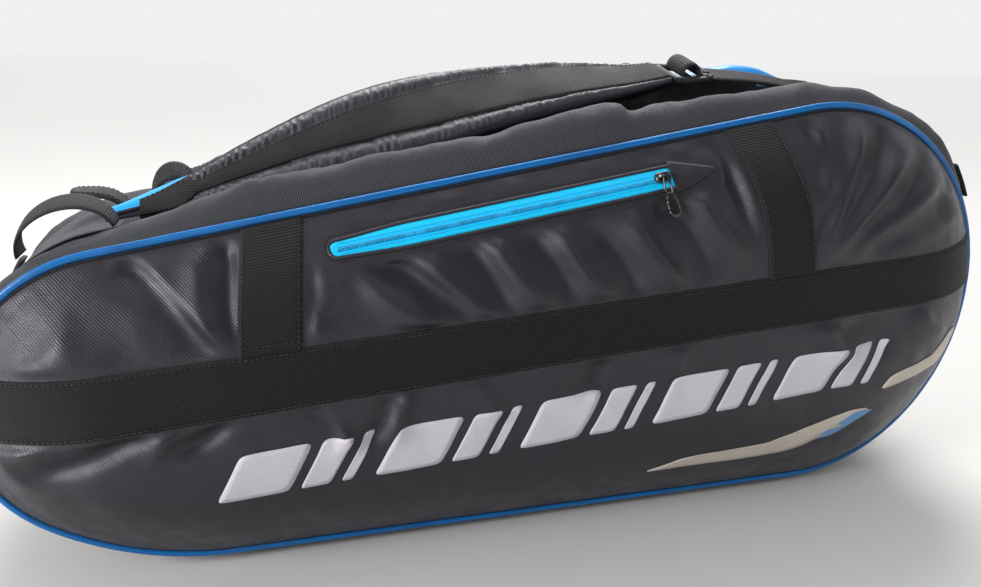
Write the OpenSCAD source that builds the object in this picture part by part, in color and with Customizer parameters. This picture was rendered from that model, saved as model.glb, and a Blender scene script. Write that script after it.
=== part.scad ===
/* [Bag outline] */
// Length of the bag between the extremes of its piping
bag_length = 748; // [720:1:780]
// Radius of the upper corner at the handle end
handle_r = 98; // [90:1:106]
// Radius of the lower corner at the handle end
handle_low_r = 200; // [180:1:220]
// Radius of the upper corner at the head end
head_r = 148; // [128:1:150]
// Radius of the lower corner at the head end
head_low_r = 150; // [142:1:156]
// Height of the handle end's widest point
handle_mid_z = 125; // [118:1:132]
// Height of the head end's widest point
head_mid_z = 164; // [150:1:180]
// Height of the piping above the ground along the lower edge
loop_z = 10; // [9:1:12]

/* [Thickness] */
// Distance between the front and the back piping
bag_depth = 200; // [180:2:220]
// How far each cover bulges past its piping
bulge = 46; // [30:1:55]
// Distance from the piping over which a cover rises to its full bulge
bulge_run = 95; // [80:1:96]
// Thickness of a lined cover
cover_t = 3; // [2:0.5:4]
// Thickness of a gusset's fabric
gusset_t = 2.5; // [2:0.5:3]
// Height of the padded rolls above the top line
roll_h = 24; // [14:1:25]

/* [Trim] */
// Diameter of the piping
piping_d = 5.2; // [4.4:0.2:7]
// Width of the webbing sewn on the covers
webbing_w = 38; // [30:1:40]
// Thickness of the webbing
webbing_t = 1.6; // [1.2:0.1:2]
// Length of the accessory pocket's zip
pocket_zip_l = 235; // [200:5:240]
// Width of the accessory pocket's zip tape
pocket_tape_w = 12; // [9:0.5:14]

/* [Straps] */
// Widest part of a shoulder strap
strap_w = 74; // [60:1:76]
// Thickness of a strap's padding
strap_t = 11; // [8:1:12]
// Width of the webbing that adjusts a strap
adjuster_w = 28; // [20:1:30]

/* [Hidden] */

fabric = [0.20, 0.19, 0.21];
twill = [0.26, 0.26, 0.28];
webbing = [0.10, 0.10, 0.11];
blue = [0.03, 0.45, 0.85];
cyan = [0.02, 0.72, 0.93];
plastic = [0.06, 0.06, 0.07];
silver = [0.75, 0.74, 0.78];

// The four corners of the outline: centre, radius, first and last angle
plane_y = -bag_depth / 2;
head_x = bag_length / 2 + 1;
handle_x = head_x - bag_length;
handle_c = [handle_x + handle_r, handle_mid_z];
head_c = [head_x - head_r, head_mid_z];
head_low_c = [head_x - head_low_r, loop_z + head_low_r];
join_a = 180 + asin((handle_low_r - handle_mid_z + loop_z) / (handle_low_r - handle_r));
handle_low_c = [handle_c[0] - (handle_low_r - handle_r) * cos(join_a), loop_z + handle_low_r];
spread = head_c - handle_c;
slope = atan2(spread[1], spread[0]) + asin((head_r - handle_r) / norm(spread));
top_a = 90 + slope;
top_dir = [cos(slope), sin(slope)];
top_n = [-sin(slope), cos(slope)];
top_head = head_c + head_r * top_n;
top_handle = handle_c + handle_r * top_n;

// Where the main zips begin, as angles on the two upper corners
zip_head_a = 24;
zip_handle_a = 160;

function polar(c, r, a) = c + r * [cos(a), sin(a)];
function arc(c, r, a0, a1, n) = [for (i = [0:n]) polar(c, r, a0 + (a1 - a0) * i / n)];

// The outline set in by d, anticlockwise from the middle of the bottom
function outline(d) = concat(
  arc(head_low_c, head_low_r - d, 270, 360, 11),
  arc(head_c, head_r - d, 0, top_a, 13),
  arc(handle_c, handle_r - d, top_a, join_a, 16),
  arc(handle_low_c, handle_low_r - d, join_a, 270, 4));

// The part of the outline under the zips, from the handle end round to the head end
function lower_run(d) = concat(
  arc(handle_c, handle_r - d, zip_handle_a, join_a, 9),
  arc(handle_low_c, handle_low_r - d, join_a, 270, 4),
  arc(head_low_c, head_low_r - d, 270, 360, 11),
  arc(head_c, head_r - d, 0, zip_head_a, 3));

// The part over the zips, from the head end back to the handle end
function upper_run(d) = concat(
  arc(head_c, head_r - d, zip_head_a + 1, top_a, 10),
  arc(handle_c, handle_r - d, top_a, zip_handle_a - 1, 8));

function reversed(v) = [for (i = [len(v) - 1:-1:0]) v[i]];
function ring_band(outer, inner) = concat(outer, reversed(inner));

// Height of the top line over x, on the corner at the head end too
function top_z(x) = x > top_head[0]
  ? head_c[1] + sqrt(head_r * head_r - pow(x - head_c[0], 2))
  : x < top_handle[0]
    ? handle_c[1] + sqrt(handle_r * handle_r - pow(x - handle_c[0], 2))
    : top_handle[1] + (x - top_handle[0]) * tan(slope);

// Distance of a point inside the outline from the nearest corner or edge
far_off = 1000;
function turn(v) = (atan2(v[1], v[0]) + 360) % 360;
function from_corner(p, c, r, a0, a1) =
  let (a = turn(p - c)) (a >= a0 && a <= a1) ? r - norm(p - c) : far_off;
function inset_at(p) = max(0, min(
  (top_head - p) * top_n, p[1] - loop_z, head_x - p[0],
  from_corner(p, head_low_c, head_low_r, 270, 360),
  from_corner(p, head_c, head_r, 0, top_a),
  from_corner(p, handle_c, handle_r, top_a, join_a),
  from_corner(p, handle_low_c, handle_low_r, join_a, 270)));

// How far a cover stands out at a given distance from its piping
bulge_power = 2.2;
rise_steps = [0, 8, 18, 30, 44, 58, 74, bulge_run];
function rise(d) = bulge * (1 - pow(1 - min(d, bulge_run) / bulge_run, bulge_power));
rise_table = [for (d = rise_steps) [d, rise(d)]];
function surface_y(p) = plane_y - lookup(inset_at(p), rise_table);

// Draws the frontal shape again on the back of the bag
module on_side(side) {
  if (side > 0) mirror([0, 1, 0]) children();
  else children();
}

// A flat shape in the bag's long plane, pushed through from y0 to y1
module slab(pts, y0, y1) {
  translate([0, y1, 0]) rotate([90, 0, 0]) linear_extrude(y1 - y0) polygon(pts);
}

// Faces between neighbouring sections of n points; the last of m joins the first if it is a ring
function skin_sides(m, n, ring = false) = [for (i = [0:ring ? m - 1 : m - 2], j = [0:n - 1])
  let (k = (j + 1) % n, a = i * n, b = ((i + 1) % m) * n)
    each [[a + j, a + k, b + k], [a + j, b + k, b + j]]];
// A closed skin through a list of flat sections, each a closed loop of points
module skin(sections) {
  m = len(sections);
  n = len(sections[0]);
  ends = [[for (j = [n - 1:-1:0]) j], [for (j = [0:n - 1]) (m - 1) * n + j]];
  polyhedron(points = [for (s = sections) each s], faces = concat(skin_sides(m, n), ends), convexity = 8);
}
// The same through sections that are bent strips: one long side, then the other one back
module strip_skin(sections) {
  m = len(sections);
  n = len(sections[0]);
  h = n / 2 - 1;
  first = [for (j = [0:h - 1]) each [[j + 1, j, n - 1 - j], [j + 1, n - 1 - j, n - 2 - j]]];
  last = [for (f = first) [for (v = [2:-1:0]) (m - 1) * n + f[v]]];
  polyhedron(points = [for (s = sections) each s],
    faces = concat(skin_sides(m, n), first, last), convexity = 8);
}
// A ring of sections
module ring_skin(sections) {
  polyhedron(points = [for (s = sections) each s],
    faces = skin_sides(len(sections), len(sections[0]), true), convexity = 8);
}

// ---- gussets, divider and rolls ----

// Section of the centre gusset: [y, height over the outline]
gusset_half = [[54, -1], [54, 1.5], [50, 6.5], [45, loop_z]];
gusset_inner = [[45, loop_z - gusset_t], [48.5, 5], [51.5, 1], [51.5, -1]];
module gusset_section() {
  outer = concat(gusset_half, [for (p = reversed(gusset_half)) [-p[0], p[1]]]);
  inner = concat([for (p = reversed(gusset_inner)) [-p[0], p[1]]], gusset_inner);
  polygon(concat(outer, inner));
}
// Turns the section round a corner of the outline
module corner_gusset(c, r, a0, a1) {
  translate([c[0], 0, c[1]]) rotate([90, 0, 0]) rotate([0, 0, a0])
    rotate_extrude(angle = a1 - a0, $fn = 96)
      translate([r, 0]) rotate([0, 0, -90]) gusset_section();
}
module base_gusset() {
  color(twill)
    translate([handle_low_c[0], 0, loop_z]) rotate([90, 0, 90])
      linear_extrude(head_low_c[0] - handle_low_c[0]) mirror([0, 1]) gusset_section();
}
module head_gusset() {
  color(twill) {
    corner_gusset(head_low_c, head_low_r, 270, 360);
    translate([head_x, 0, head_low_c[1]])
      linear_extrude(head_c[1] - head_low_c[1]) rotate([0, 0, -90]) gusset_section();
    corner_gusset(head_c, head_r, 0, zip_head_a);
  }
}
module handle_gusset() {
  color(twill) {
    corner_gusset(handle_c, handle_r, zip_handle_a, join_a);
    corner_gusset(handle_low_c, handle_low_r, join_a, 270);
  }
}
divider_t = 4;
module divider() {
  color(fabric)
    slab(concat(lower_run(-loop_z + gusset_t + 0.5), upper_run(0.2)), -divider_t / 2, divider_t / 2);
}

// Section of a roll from the piping to the spine seam: [y, share of the roll's height]
seam_y = -46;
piping_clear = piping_d / 2 + 0.3;
roll_y = plane_y + piping_clear;
roll_outer = [[roll_y, -0.05], [roll_y, 0.18], [-95, 0.48], [-90, 0.8], [-84, 0.97], [-78, 1],
  [-71, 0.9], [-63, 0.62], [-55, 0.34], [seam_y, 0.2]];
roll_inner = [[seam_y, 0.05], [-55, 0.17], [-63, 0.45], [-71, 0.73], [-78, 0.83], [-84, 0.8],
  [-90, 0.62], [roll_y + 2.8, 0.3], [roll_y + 2.4, -0.05]];
roll_section = reversed(concat(roll_outer, roll_inner));
// Stations along the top: [point, outward direction, share of the roll's full height].
// The lying strap presses the back roll flatter than the front one.
function station(p, a, k) = [p, [cos(a), sin(a)], k];
corner_steps = 9;
straight_steps = 10;
function head_share(a) = lookup(a, [[24, 0.6], [46, 0.92], [70, 0.55], [top_a, 0.7]]);
function handle_share(a) = 0.3 - 0.04 * (a - top_a) / (zip_handle_a - top_a);
front_share = [[0, 0.7], [0.2, 0.92], [0.4, 1], [0.8, 0.96], [0.9, 0.58], [1, 0.3]];
back_share = [[0, 0.7], [0.2, 0.85], [0.4, 0.78], [0.7, 0.47], [0.9, 0.4], [1, 0.3]];
function top_stations(side) = concat(
  [for (i = [0:corner_steps])
    let (a = zip_head_a + 1 + (top_a - zip_head_a - 1) * i / corner_steps)
      station(polar(head_c, head_r, a), a, head_share(a))],
  [for (i = [1:straight_steps - 1])
    let (u = i / straight_steps)
      station(top_head + u * (top_handle - top_head), top_a, lookup(u, side < 0 ? front_share : back_share))],
  [for (i = [0:corner_steps])
    let (a = top_a + (zip_handle_a - 1 - top_a) * i / corner_steps)
      station(polar(handle_c, handle_r, a), a, handle_share(a))]);
module top_roll(side) {
  color(twill) on_side(side)
    skin([for (s = top_stations(side)) [for (q = roll_section)
      let (p = s[0] + s[1] * q[1] * roll_h * s[2]) [p[0], q[0], p[1]]]]);
}
module front_top_roll() { top_roll(-1); }
module back_top_roll() { top_roll(1); }

spine_h = 3.4;
spine_half_w = -seam_y - 0.2;
module spine_panel() {
  color(twill) slab(ring_band(upper_run(-spine_h), upper_run(-0.6)), -spine_half_w, spine_half_w);
}
// Padded lens in the middle of the spine: [share of its length, half width, height]
inset_x0 = -292;
inset_x1 = 262;
inset_clear = 0.9;
inset_steps = 20;
lens_profile = [[0, 5, 1], [0.05, 13, 12], [0.1, 18, 21], [0.25, 26, 21], [0.5, 28, 20], [0.7, 26, 20],
  [0.8, 21, 23], [0.86, 18, 25], [0.9, 15, 21], [0.95, 10, 13], [1, 3, 2]];
function lens_at(u, k) = lookup(u, [for (q = lens_profile) [q[0], q[k]]]);
module spine_inset() {
  sections = [for (i = [0:inset_steps])
    let (u = i / inset_steps, x = mix(inset_x0, inset_x1, u), w = lens_at(u, 1),
      z = top_z(x) + spine_h + inset_clear, h = lens_at(u, 2))
        [[x, -w, z], [x, w, z], [x, w * 0.75, z + h * 0.8], [x, 0, z + h], [x, -w * 0.75, z + h * 0.8]]];
  color(blue) skin(reversed(sections));
}

// Zip tapes: the teeth meet at teeth_y
teeth_y = -60;
tape_w = 6;
tape_gap = 0.3;
tape_t = 1.8;
module inner_zip_tape(side) {
  color(plastic) on_side(side)
    slab(ring_band(lower_run(-tape_t / 2), lower_run(tape_t / 2)),
      teeth_y + tape_gap, teeth_y + tape_w - 0.2);
}
module front_inner_zip_tape() { inner_zip_tape(-1); }
module back_inner_zip_tape() { inner_zip_tape(1); }
module outer_zip_tape(side) {
  color(plastic) on_side(side)
    slab(ring_band(lower_run(-tape_t / 2), lower_run(tape_t / 2)), teeth_y - tape_w, teeth_y - tape_gap);
}
module front_outer_zip_tape() { outer_zip_tape(-1); }
module back_outer_zip_tape() { outer_zip_tape(1); }
module outer_gusset(side) {
  color(twill) on_side(side)
    slab(ring_band(lower_run(0), lower_run(gusset_t)), plane_y + piping_clear, teeth_y - tape_w - 0.1);
}
module front_outer_gusset() { outer_gusset(-1); }
module back_outer_gusset() { outer_gusset(1); }

// Folded webbing tabs where the main zips begin
tab_w = 22;
tab_t = 3.2;
tab_half_a = 5;
module zip_tabs(c, r, a, roll_share) {
  low = r + roll_h * roll_share + 0.8;
  for (side = [-1, 1]) color(webbing) on_side(side)
    slab(ring_band(arc(c, low + tab_t, a - tab_half_a, a + tab_half_a, 3),
      arc(c, low, a - tab_half_a, a + tab_half_a, 3)), -84, -84 + tab_w);
}
module head_zip_tabs() { zip_tabs(head_c, head_r, zip_head_a + 7, 0.8); }
module handle_zip_tabs() { zip_tabs(handle_c, handle_r, zip_handle_a - 7, 0.29); }

// ---- covers ----

first_inset = piping_clear;
panel_insets = concat([first_inset], [for (i = [1:len(rise_steps) - 1]) rise_steps[i]]);
function loop_at(d, y) = [for (p = outline(d)) [p[0], y, p[1]]];
module panel(side) {
  outer = [for (d = panel_insets) loop_at(d, plane_y - lookup(d, rise_table))];
  inner = [for (d = panel_insets) loop_at(d, plane_y - lookup(d, rise_table) + cover_t)];
  color(fabric) on_side(side) skin(concat(reversed(outer), inner));
}
module front_panel() { panel(-1); }
module back_panel() { panel(1); }

// The piping is swept round the outline; its ring stands in the plane of each point's outward direction
piping_sides = 10;
piping_r = piping_d / 2 / cos(180 / piping_sides);
function outward(c, p) = (p - c) / norm(p - c);
function corner_of(i) = i < 12 ? head_low_c : i < 26 ? head_c : i < 43 ? handle_c : handle_low_c;
module piping(side) {
  path = outline(0);
  rings = [for (i = [0:len(path) - 1])
    let (n = outward(corner_of(i), path[i]))
      [for (j = [0:piping_sides - 1])
        let (a = 360 * (j + 0.5) / piping_sides, p = path[i] + n * piping_r * cos(a))
          [p[0], plane_y - piping_r * sin(a), p[1]]]];
  color(blue) on_side(side) ring_skin(rings);
}
module front_piping() { piping(-1); }
module back_piping() { piping(1); }

// A strip sewn on a cover between two edge lines, each given by its ends
bed = 0.4;
function mix(a, b, u) = a + (b - a) * u;
function on_cover(p, lift) = [p[0], surface_y(p) - lift, p[1]];
module cover_strip(a0, a1, b0, b1, t, n) {
  across = 4;
  strip_skin([for (i = [0:n])
    let (p = mix(a0, a1, i / n), q = mix(b0, b1, i / n))
      concat([for (j = [0:across]) on_cover(mix(p, q, j / across), t)],
        [for (j = [across:-1:0]) on_cover(mix(p, q, j / across), -bed)])]);
}
band_handle = [handle_x + 5, 134];
band_head = [head_x - 5, 194];
module band(side) {
  h = [0, webbing_w / 2];
  color(webbing) on_side(side)
    cover_strip(band_handle - h, band_head - h, band_handle + h + [4, 0], band_head + h - [7.7, 0],
      webbing_t, 26);
}
module front_band() { band(-1); }
module back_band() { band(1); }

// The point at x on the band's upper edge, and the one under the piping
function band_top(x) = let (share = (x - band_handle[0]) / (band_head[0] - band_handle[0]))
  [x, mix(band_handle, band_head, share)[1] + webbing_w / 2 + 0.6];
function under_piping(x) = [x, top_z(x) - first_inset - 0.6];
module cross_webbing(side, x_top, x_low) {
  color(webbing) on_side(side)
    cover_strip(under_piping(x_top), band_top(x_low),
      under_piping(x_top + webbing_w), band_top(x_low + webbing_w), webbing_t, 10);
}
module front_handle_webbing() { cross_webbing(-1, -203, -209); }
module back_handle_webbing() { cross_webbing(1, -203, -209); }
module front_head_webbing() { cross_webbing(-1, 130, 151); }
module back_head_webbing() { cross_webbing(1, 130, 151); }

// Generic printed bars on the lower part of the front cover
print_t = 0.5;
module front_print() {
  bar_n = 5;
  bar_l = 84;
  gap = 14;
  lean = 16;
  color(silver) for (i = [0:bar_n - 1]) {
    a = [-227 + i * (bar_l + gap), 69 + i * 8];
    b = a + [bar_l, 7];
    cover_strip(a, b, a + [lean, 34], b + [lean, 34], print_t, 5);
  }
}

// ---- accessory pocket ----

// A frame on the cover's slope: along the top line, down the slope, and out of it
zip_inset = 23.5;
zip_end_s = -128;
zip_tilt = atan2(rise(30) - rise(18), 12);
function zip_point(s, d) = top_head + s * top_dir - d * top_n;
module on_zip(s) {
  p = zip_point(s, zip_inset);
  translate([p[0], surface_y(p), p[1]]) rotate([0, -slope, 0]) rotate([90 - zip_tilt, 0, 0]) children();
}
pocket_tape_t = 1.2;
module pocket_zip_tape() {
  color(cyan) on_zip(zip_end_s) translate([0, 0, -0.3]) linear_extrude(pocket_tape_t) {
    translate([-pocket_zip_l + pocket_tape_w / 2, -pocket_tape_w / 2])
      square([pocket_zip_l - pocket_tape_w / 2, pocket_tape_w]);
    translate([-pocket_zip_l + pocket_tape_w / 2, 0]) circle(d = pocket_tape_w, $fn = 32);
  }
}
module pocket_zip_garage() {
  color(fabric) on_zip(zip_end_s) translate([7.5, 0, -0.3]) linear_extrude(2.6)
    polygon([[0, -9], [27, 0], [0, 9]]);
}
lining_drop = 100;
module pocket_lining() {
  s0 = zip_end_s - pocket_zip_l - 10;
  s1 = zip_end_s + 14;
  color(fabric) slab([zip_point(s0, zip_inset + 2), zip_point(s0 + 10, zip_inset + lining_drop - 24),
    zip_point(s1 - 10, zip_inset + lining_drop), zip_point(s1, zip_inset + 2)],
    plane_y - 12, plane_y - 10.8);
}
slider_lift = 1.3;
slider_l = 11;
slider_w = 8.4;
slider_h = 3;
pin_d = 2;
bridge_z = slider_lift + slider_h + 2.4;
module slider_body(w, l) {
  translate([-l / 2, -w / 2, slider_lift]) cube([l, w, slider_h]);
}
module pocket_slider() {
  color(plastic) on_zip(zip_end_s - slider_l / 2) {
    slider_body(slider_w, slider_l);
    for (x = [-4.2, 2.6]) translate([x, -1.6, slider_lift + slider_h - 0.1]) cube([1.6, 3.2, 4]);
    translate([-4.2, 0, bridge_z + 0.4]) rotate([0, 90, 0]) cylinder(h = 8.4, d = pin_d, $fn = 24);
  }
}
// The puller: an eye round the bridge, an open loop and a ridged tab
puller_l = 31;
module puller_shape(l, w, t) {
  difference() {
    union() {
      rotate([0, 90, 0]) translate([0, 0, -1.6]) cylinder(h = 3.2, d = pin_d + 3, $fn = 32);
      translate([-1.6, -l * 0.3, -t / 2]) cube([3.2, l * 0.3 - 1.8, t]);
      translate([0, 0, -t / 2]) linear_extrude(t) hull() {
        translate([0, -l * 0.3]) circle(d = w * 0.7, $fn = 24);
        translate([0, -l + w / 2]) circle(d = w, $fn = 24);
      }
    }
    rotate([0, 90, 0]) translate([0, 0, -3]) cylinder(h = 6, d = pin_d + 0.3, $fn = 32);
  }
}
module pocket_puller() {
  color(plastic) on_zip(zip_end_s - slider_l / 2) translate([0, 0, bridge_z + 0.4])
    rotate([13, 0, 0]) puller_shape(puller_l, 9, 1.8);
}

// ---- main zip sliders ----

main_slider_x = 205;
main_slider_z = loop_z - 1.4;
module on_main_zip(side) {
  on_side(side) translate([main_slider_x, teeth_y, main_slider_z]) rotate([180, 0, 0]) children();
}
main_slider_h = 2.2;
module main_slider(side) {
  color(plastic) on_main_zip(side) {
    translate([-6, -4.2, 0]) cube([12, 8.4, main_slider_h]);
    for (y = [-2.8, 1.6]) translate([-1.6, y, main_slider_h - 0.1]) cube([3.2, 1.2, 3.4]);
    translate([0, 2.8, main_slider_h + 2.2]) rotate([90, 0, 0]) cylinder(h = 5.6, d = 1.6, $fn = 24);
  }
}
module front_zip_slider() { main_slider(-1); }
module back_zip_slider() { main_slider(1); }
main_puller_l = 30;
module main_puller(side) {
  color(plastic) on_main_zip(side) translate([0, 0, main_slider_h + 2.2]) difference() {
    union() {
      rotate([90, 0, 0]) translate([0, 0, -1.3]) cylinder(h = 2.6, d = 3.4, $fn = 32);
      translate([1.2, -1.3, -0.7]) cube([9, 2.6, 1.4]);
      translate([0, 0, -0.7]) linear_extrude(1.4) hull() {
        translate([11, 0]) circle(d = 5, $fn = 24);
        translate([main_puller_l - 4, 0]) circle(d = 8, $fn = 24);
      }
    }
    rotate([90, 0, 0]) translate([0, 0, -3]) cylinder(h = 6, d = 1.9, $fn = 32);
  }
}
module front_zip_puller() { main_puller(-1); }
module back_zip_puller() { main_puller(1); }

// ---- shoulder straps ----

strap_x0 = -266;
strap_x1 = 117;
strap_steps = 24;
// Share of the full width along a strap, from its sewn point to its buckle
width_share = [[0, 0.13], [0.1, 0.4], [0.2, 0.61], [0.35, 0.84], [0.53, 1], [0.76, 0.89],
  [0.93, 0.7], [1, 0.54]];
// Height of the standing strap's upper edge
crest_z = [[0, 240], [0.1, 261], [0.2, 281.5], [0.28, 296], [0.35, 308], [0.42, 317], [0.53, 326],
  [0.64, 331], [0.76, 334], [1, 335]];
// Height of the lying strap's inner edge over the top line
lying_h = [[0, 9], [0.1, 13], [0.25, 20], [0.5, 24], [1, 26]];
thick_share = [[0, 0.4], [0.15, 0.8], [0.3, 1], [0.8, 1], [1, 0.45]];
function strap_width(u) = strap_w * lookup(u, width_share);
function standing_tilt(u) = 42 + 33 * max(0, (u - 0.4) / 0.6);
lying_tilt = 81;
// The two edges of a strap: standing in front, lying over the back roll
function standing_edges(u) =
  let (x = mix(strap_x0, strap_x1, u), w = strap_width(u), a = standing_tilt(u), z = lookup(u, crest_z))
    [[x, seam_y, z - w * cos(a)], [x, seam_y + w * sin(a), z]];
function lying_edges(u) =
  let (x = mix(strap_x0, strap_x1, u), w = strap_width(u), z = top_z(x) + lookup(u, lying_h))
    [[x, seam_y, z], [x, seam_y - w * sin(lying_tilt), z + w * cos(lying_tilt)]];
function strap_edges(u, lying) = lying ? lying_edges(u) : standing_edges(u);
// Out of the strap's wide face, away from the bag's middle when it stands
function face_normal(e, lying) =
  let (v = e[1] - e[0], c = [0, -v[2], v[1]] / norm(v)) lying ? -c : c;
// Rounded section between two edges: [share of the width, share of the thickness]
pad_half = [[0, 0.28], [0.05, 0.5], [0.95, 0.5], [1, 0.28]];
pad_corners = concat(pad_half, [for (k = reversed(pad_half)) [k[0], -k[1]]]);
function pad_section(e, t, lying) =
  let (n = face_normal(e, lying), m = lying ? -1 : 1)
    [for (k = pad_corners)
      mix(e[0], e[1], k[0]) + n * k[1] * t * m];
module strap_pad(lying) {
  sections = [for (i = [0:strap_steps])
    let (u = i / strap_steps) pad_section(strap_edges(u, lying), strap_t * lookup(u, thick_share), lying)];
  color(fabric) skin(sections);
}
band_t = 1.4;
module strap_band(lying) {
  m = lying ? -1 : 1;
  sections = [for (i = [1:strap_steps])
    let (u = i / strap_steps, e = strap_edges(u, lying), n = face_normal(e, lying) * m,
      h = strap_t * lookup(u, thick_share) / 2, half = mix(0.16, 0.36, u),
      a = mix(e[0], e[1], 0.5 - half), b = mix(e[0], e[1], 0.5 + half))
        [a + n * (h - 0.1), a + n * (h + band_t), b + n * (h + band_t), b + n * (h - 0.1)]];
  color(twill) skin(sections);
}
module front_strap_pad() { strap_pad(false); }
module front_strap_band() { strap_band(false); }
module back_strap_pad() { mirror([0, 1, 0]) strap_pad(true); }
module back_strap_band() { mirror([0, 1, 0]) strap_band(true); }

// Frame at a strap's buckle end: x along the strap, y across, z out of it
lock_l = 34;
lock_w = adjuster_w + 12;
lock_t = 5;
module at_lock(lying) {
  e = strap_edges(1, lying);
  mid = (e[0] + e[1]) / 2;
  tilt = lying ? -(90 - lying_tilt) : 90 - standing_tilt(1);
  translate(mid + [3, 0, 0]) rotate([tilt, 0, 0]) children();
}
module ladder_lock() {
  bar = 5;
  slot_l = (lock_l - 3 * bar) / 2;
  color(plastic) difference() {
    translate([0, -lock_w / 2, -lock_t / 2]) cube([lock_l, lock_w, lock_t]);
    for (x = [bar, 2 * bar + slot_l]) translate([x, -adjuster_w / 2 - 1, -lock_t])
      cube([slot_l, adjuster_w + 2, 2 * lock_t]);
  }
}
module front_ladder_lock() { at_lock(false) ladder_lock(); }
module back_ladder_lock() { mirror([0, 1, 0]) at_lock(true) ladder_lock(); }

// Webbing from the lock to the seam at the head end
adjuster_t = 2;
anchor_x = 265;
adjuster_steps = 18;
adjuster_lift = 4.5;
function seam_height(x) = top_z(x) + spine_h;
function lock_side(lying, share) = let (e = strap_edges(1, lying))
  mix(e[0], e[1], 0.5 + share) + [lock_l + 3.1, 0, 0];
function adjuster_edges(v, lying) =
  let (share = adjuster_w / 2 / strap_width(1),
    a = lock_side(lying, -share), b = lock_side(lying, share),
    c = [anchor_x, seam_y, seam_height(anchor_x) + 1.6], d = c + [0, lying ? -3 : 3, 6],
    e = mix(a, c, v), f = mix(b, d, v),
    clear = seam_height(e[0]) + adjuster_lift * min(1, 5 * (1 - v)) + 1.6 - e[2],
    up = max(adjuster_lift * sin(180 * v), clear))
    [e + [0, 0, up], f + [0, 0, up]];
module adjuster(lying) {
  m = lying ? -1 : 1;
  sections = [for (i = [0:adjuster_steps])
    let (e = adjuster_edges(i / adjuster_steps, lying), n = face_normal(e, lying) * m * adjuster_t / 2)
      [e[0] - n, e[0] + n, e[1] + n, e[1] - n]];
  color(webbing) {
    skin(sections);
    at_lock(lying) lock_hump();
  }
}
// The webbing's turn over the middle bar of the lock
module lock_hump() {
  translate([lock_l / 2, adjuster_w / 2, lock_t / 2 + 0.1]) rotate([90, 0, 0]) linear_extrude(adjuster_w)
    difference() {
      circle(d = 17, $fn = 40);
      circle(d = 17 - 2 * adjuster_t, $fn = 40);
      translate([-20, -40]) square([40, 40]);
    }
}
module front_adjuster() { adjuster(false); }
module back_adjuster() { mirror([0, 1, 0]) adjuster(true); }

// Stitched patches in the seams under the sewn ends of a strap
patch_l = 28;
patch_t = 0.8;
function over_seam(x0, x1, h) = [for (i = [0:6]) let (x = mix(x0, x1, i / 6)) [x, seam_height(x) + h]];
module anchor_patches(side) {
  color(webbing) on_side(side) for (x = [strap_x0 - 12, anchor_x - 40])
    slab(ring_band(over_seam(x + patch_l, x, 0.1), over_seam(x + patch_l, x, 0.1 + patch_t)),
      seam_y + 1, seam_y + 23);
}
module front_anchor_patches() { anchor_patches(-1); }
module back_anchor_patches() { anchor_patches(1); }

// ---- handle end ----

loop_w = 26;
loop_t = 2;
module loop_ring(c, r0, a0, a1, out, y0, w) {
  feet = [polar(c, r0, a0), polar(c, r0, a1)];
  span = norm(feet[1] - feet[0]) / 2;
  base = (feet[0] + feet[1]) / 2;
  away = [cos((a0 + a1) / 2), sin((a0 + a1) / 2)];
  along = [away[1], -away[0]];
  n = 14;
  outer = [for (i = [0:n]) base + away * out * sin(180 * i / n) + along * span * cos(180 * i / n)];
  inner = [for (i = [0:n])
    base + away * (out - loop_t) * sin(180 * i / n) + along * (span - loop_t) * cos(180 * i / n)];
  slab(ring_band(outer, inner), y0, y0 + w);
}
module grab_loop() {
  color(webbing) loop_ring(handle_c, handle_r + 10.2, 92, 124, 24, -74, loop_w);
}
module hang_loop() {
  color(webbing) loop_ring(handle_c + [27, 8], handle_r + 6, 83, 99, 20, 22, 16);
}
// A sewn flap that stands out over the handle end: its middle line as [x, z]
tab_line = [[-282, 228.4], [-286, 234], [-292, 238], [-301, 240], [-318, 240]];
module handle_end_tab() {
  color(twill) translate([0, 44, 0]) rotate([90, 0, 0]) linear_extrude(30)
    for (i = [1:len(tab_line) - 1]) hull() for (p = [tab_line[i - 1], tab_line[i]])
      translate(p) circle(d = 2.8, $fn = 16);
}

base_gusset();
head_gusset();
handle_gusset();
divider();
front_top_roll();
back_top_roll();
spine_panel();
spine_inset();
front_inner_zip_tape();
back_inner_zip_tape();
head_zip_tabs();
handle_zip_tabs();
handle_end_tab();
grab_loop();
hang_loop();
front_panel();
front_piping();
front_outer_gusset();
front_outer_zip_tape();
front_band();
front_handle_webbing();
front_head_webbing();
front_print();
pocket_zip_tape();
pocket_zip_garage();
pocket_lining();
pocket_slider();
pocket_puller();
back_panel();
back_piping();
back_outer_gusset();
back_outer_zip_tape();
back_band();
back_handle_webbing();
back_head_webbing();
front_zip_slider();
front_zip_puller();
back_zip_slider();
back_zip_puller();
front_strap_pad();
front_strap_band();
front_ladder_lock();
front_adjuster();
back_strap_pad();
back_strap_band();
back_ladder_lock();
back_adjuster();
front_anchor_patches();
back_anchor_patches();
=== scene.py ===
"""Racket tournament bag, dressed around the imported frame. Shapes are worked out in millimetres."""
import math

import bmesh
import bpy
import numpy as np
from mathutils import Matrix, Vector, noise
from mathutils.bvhtree import BVHTree


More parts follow.
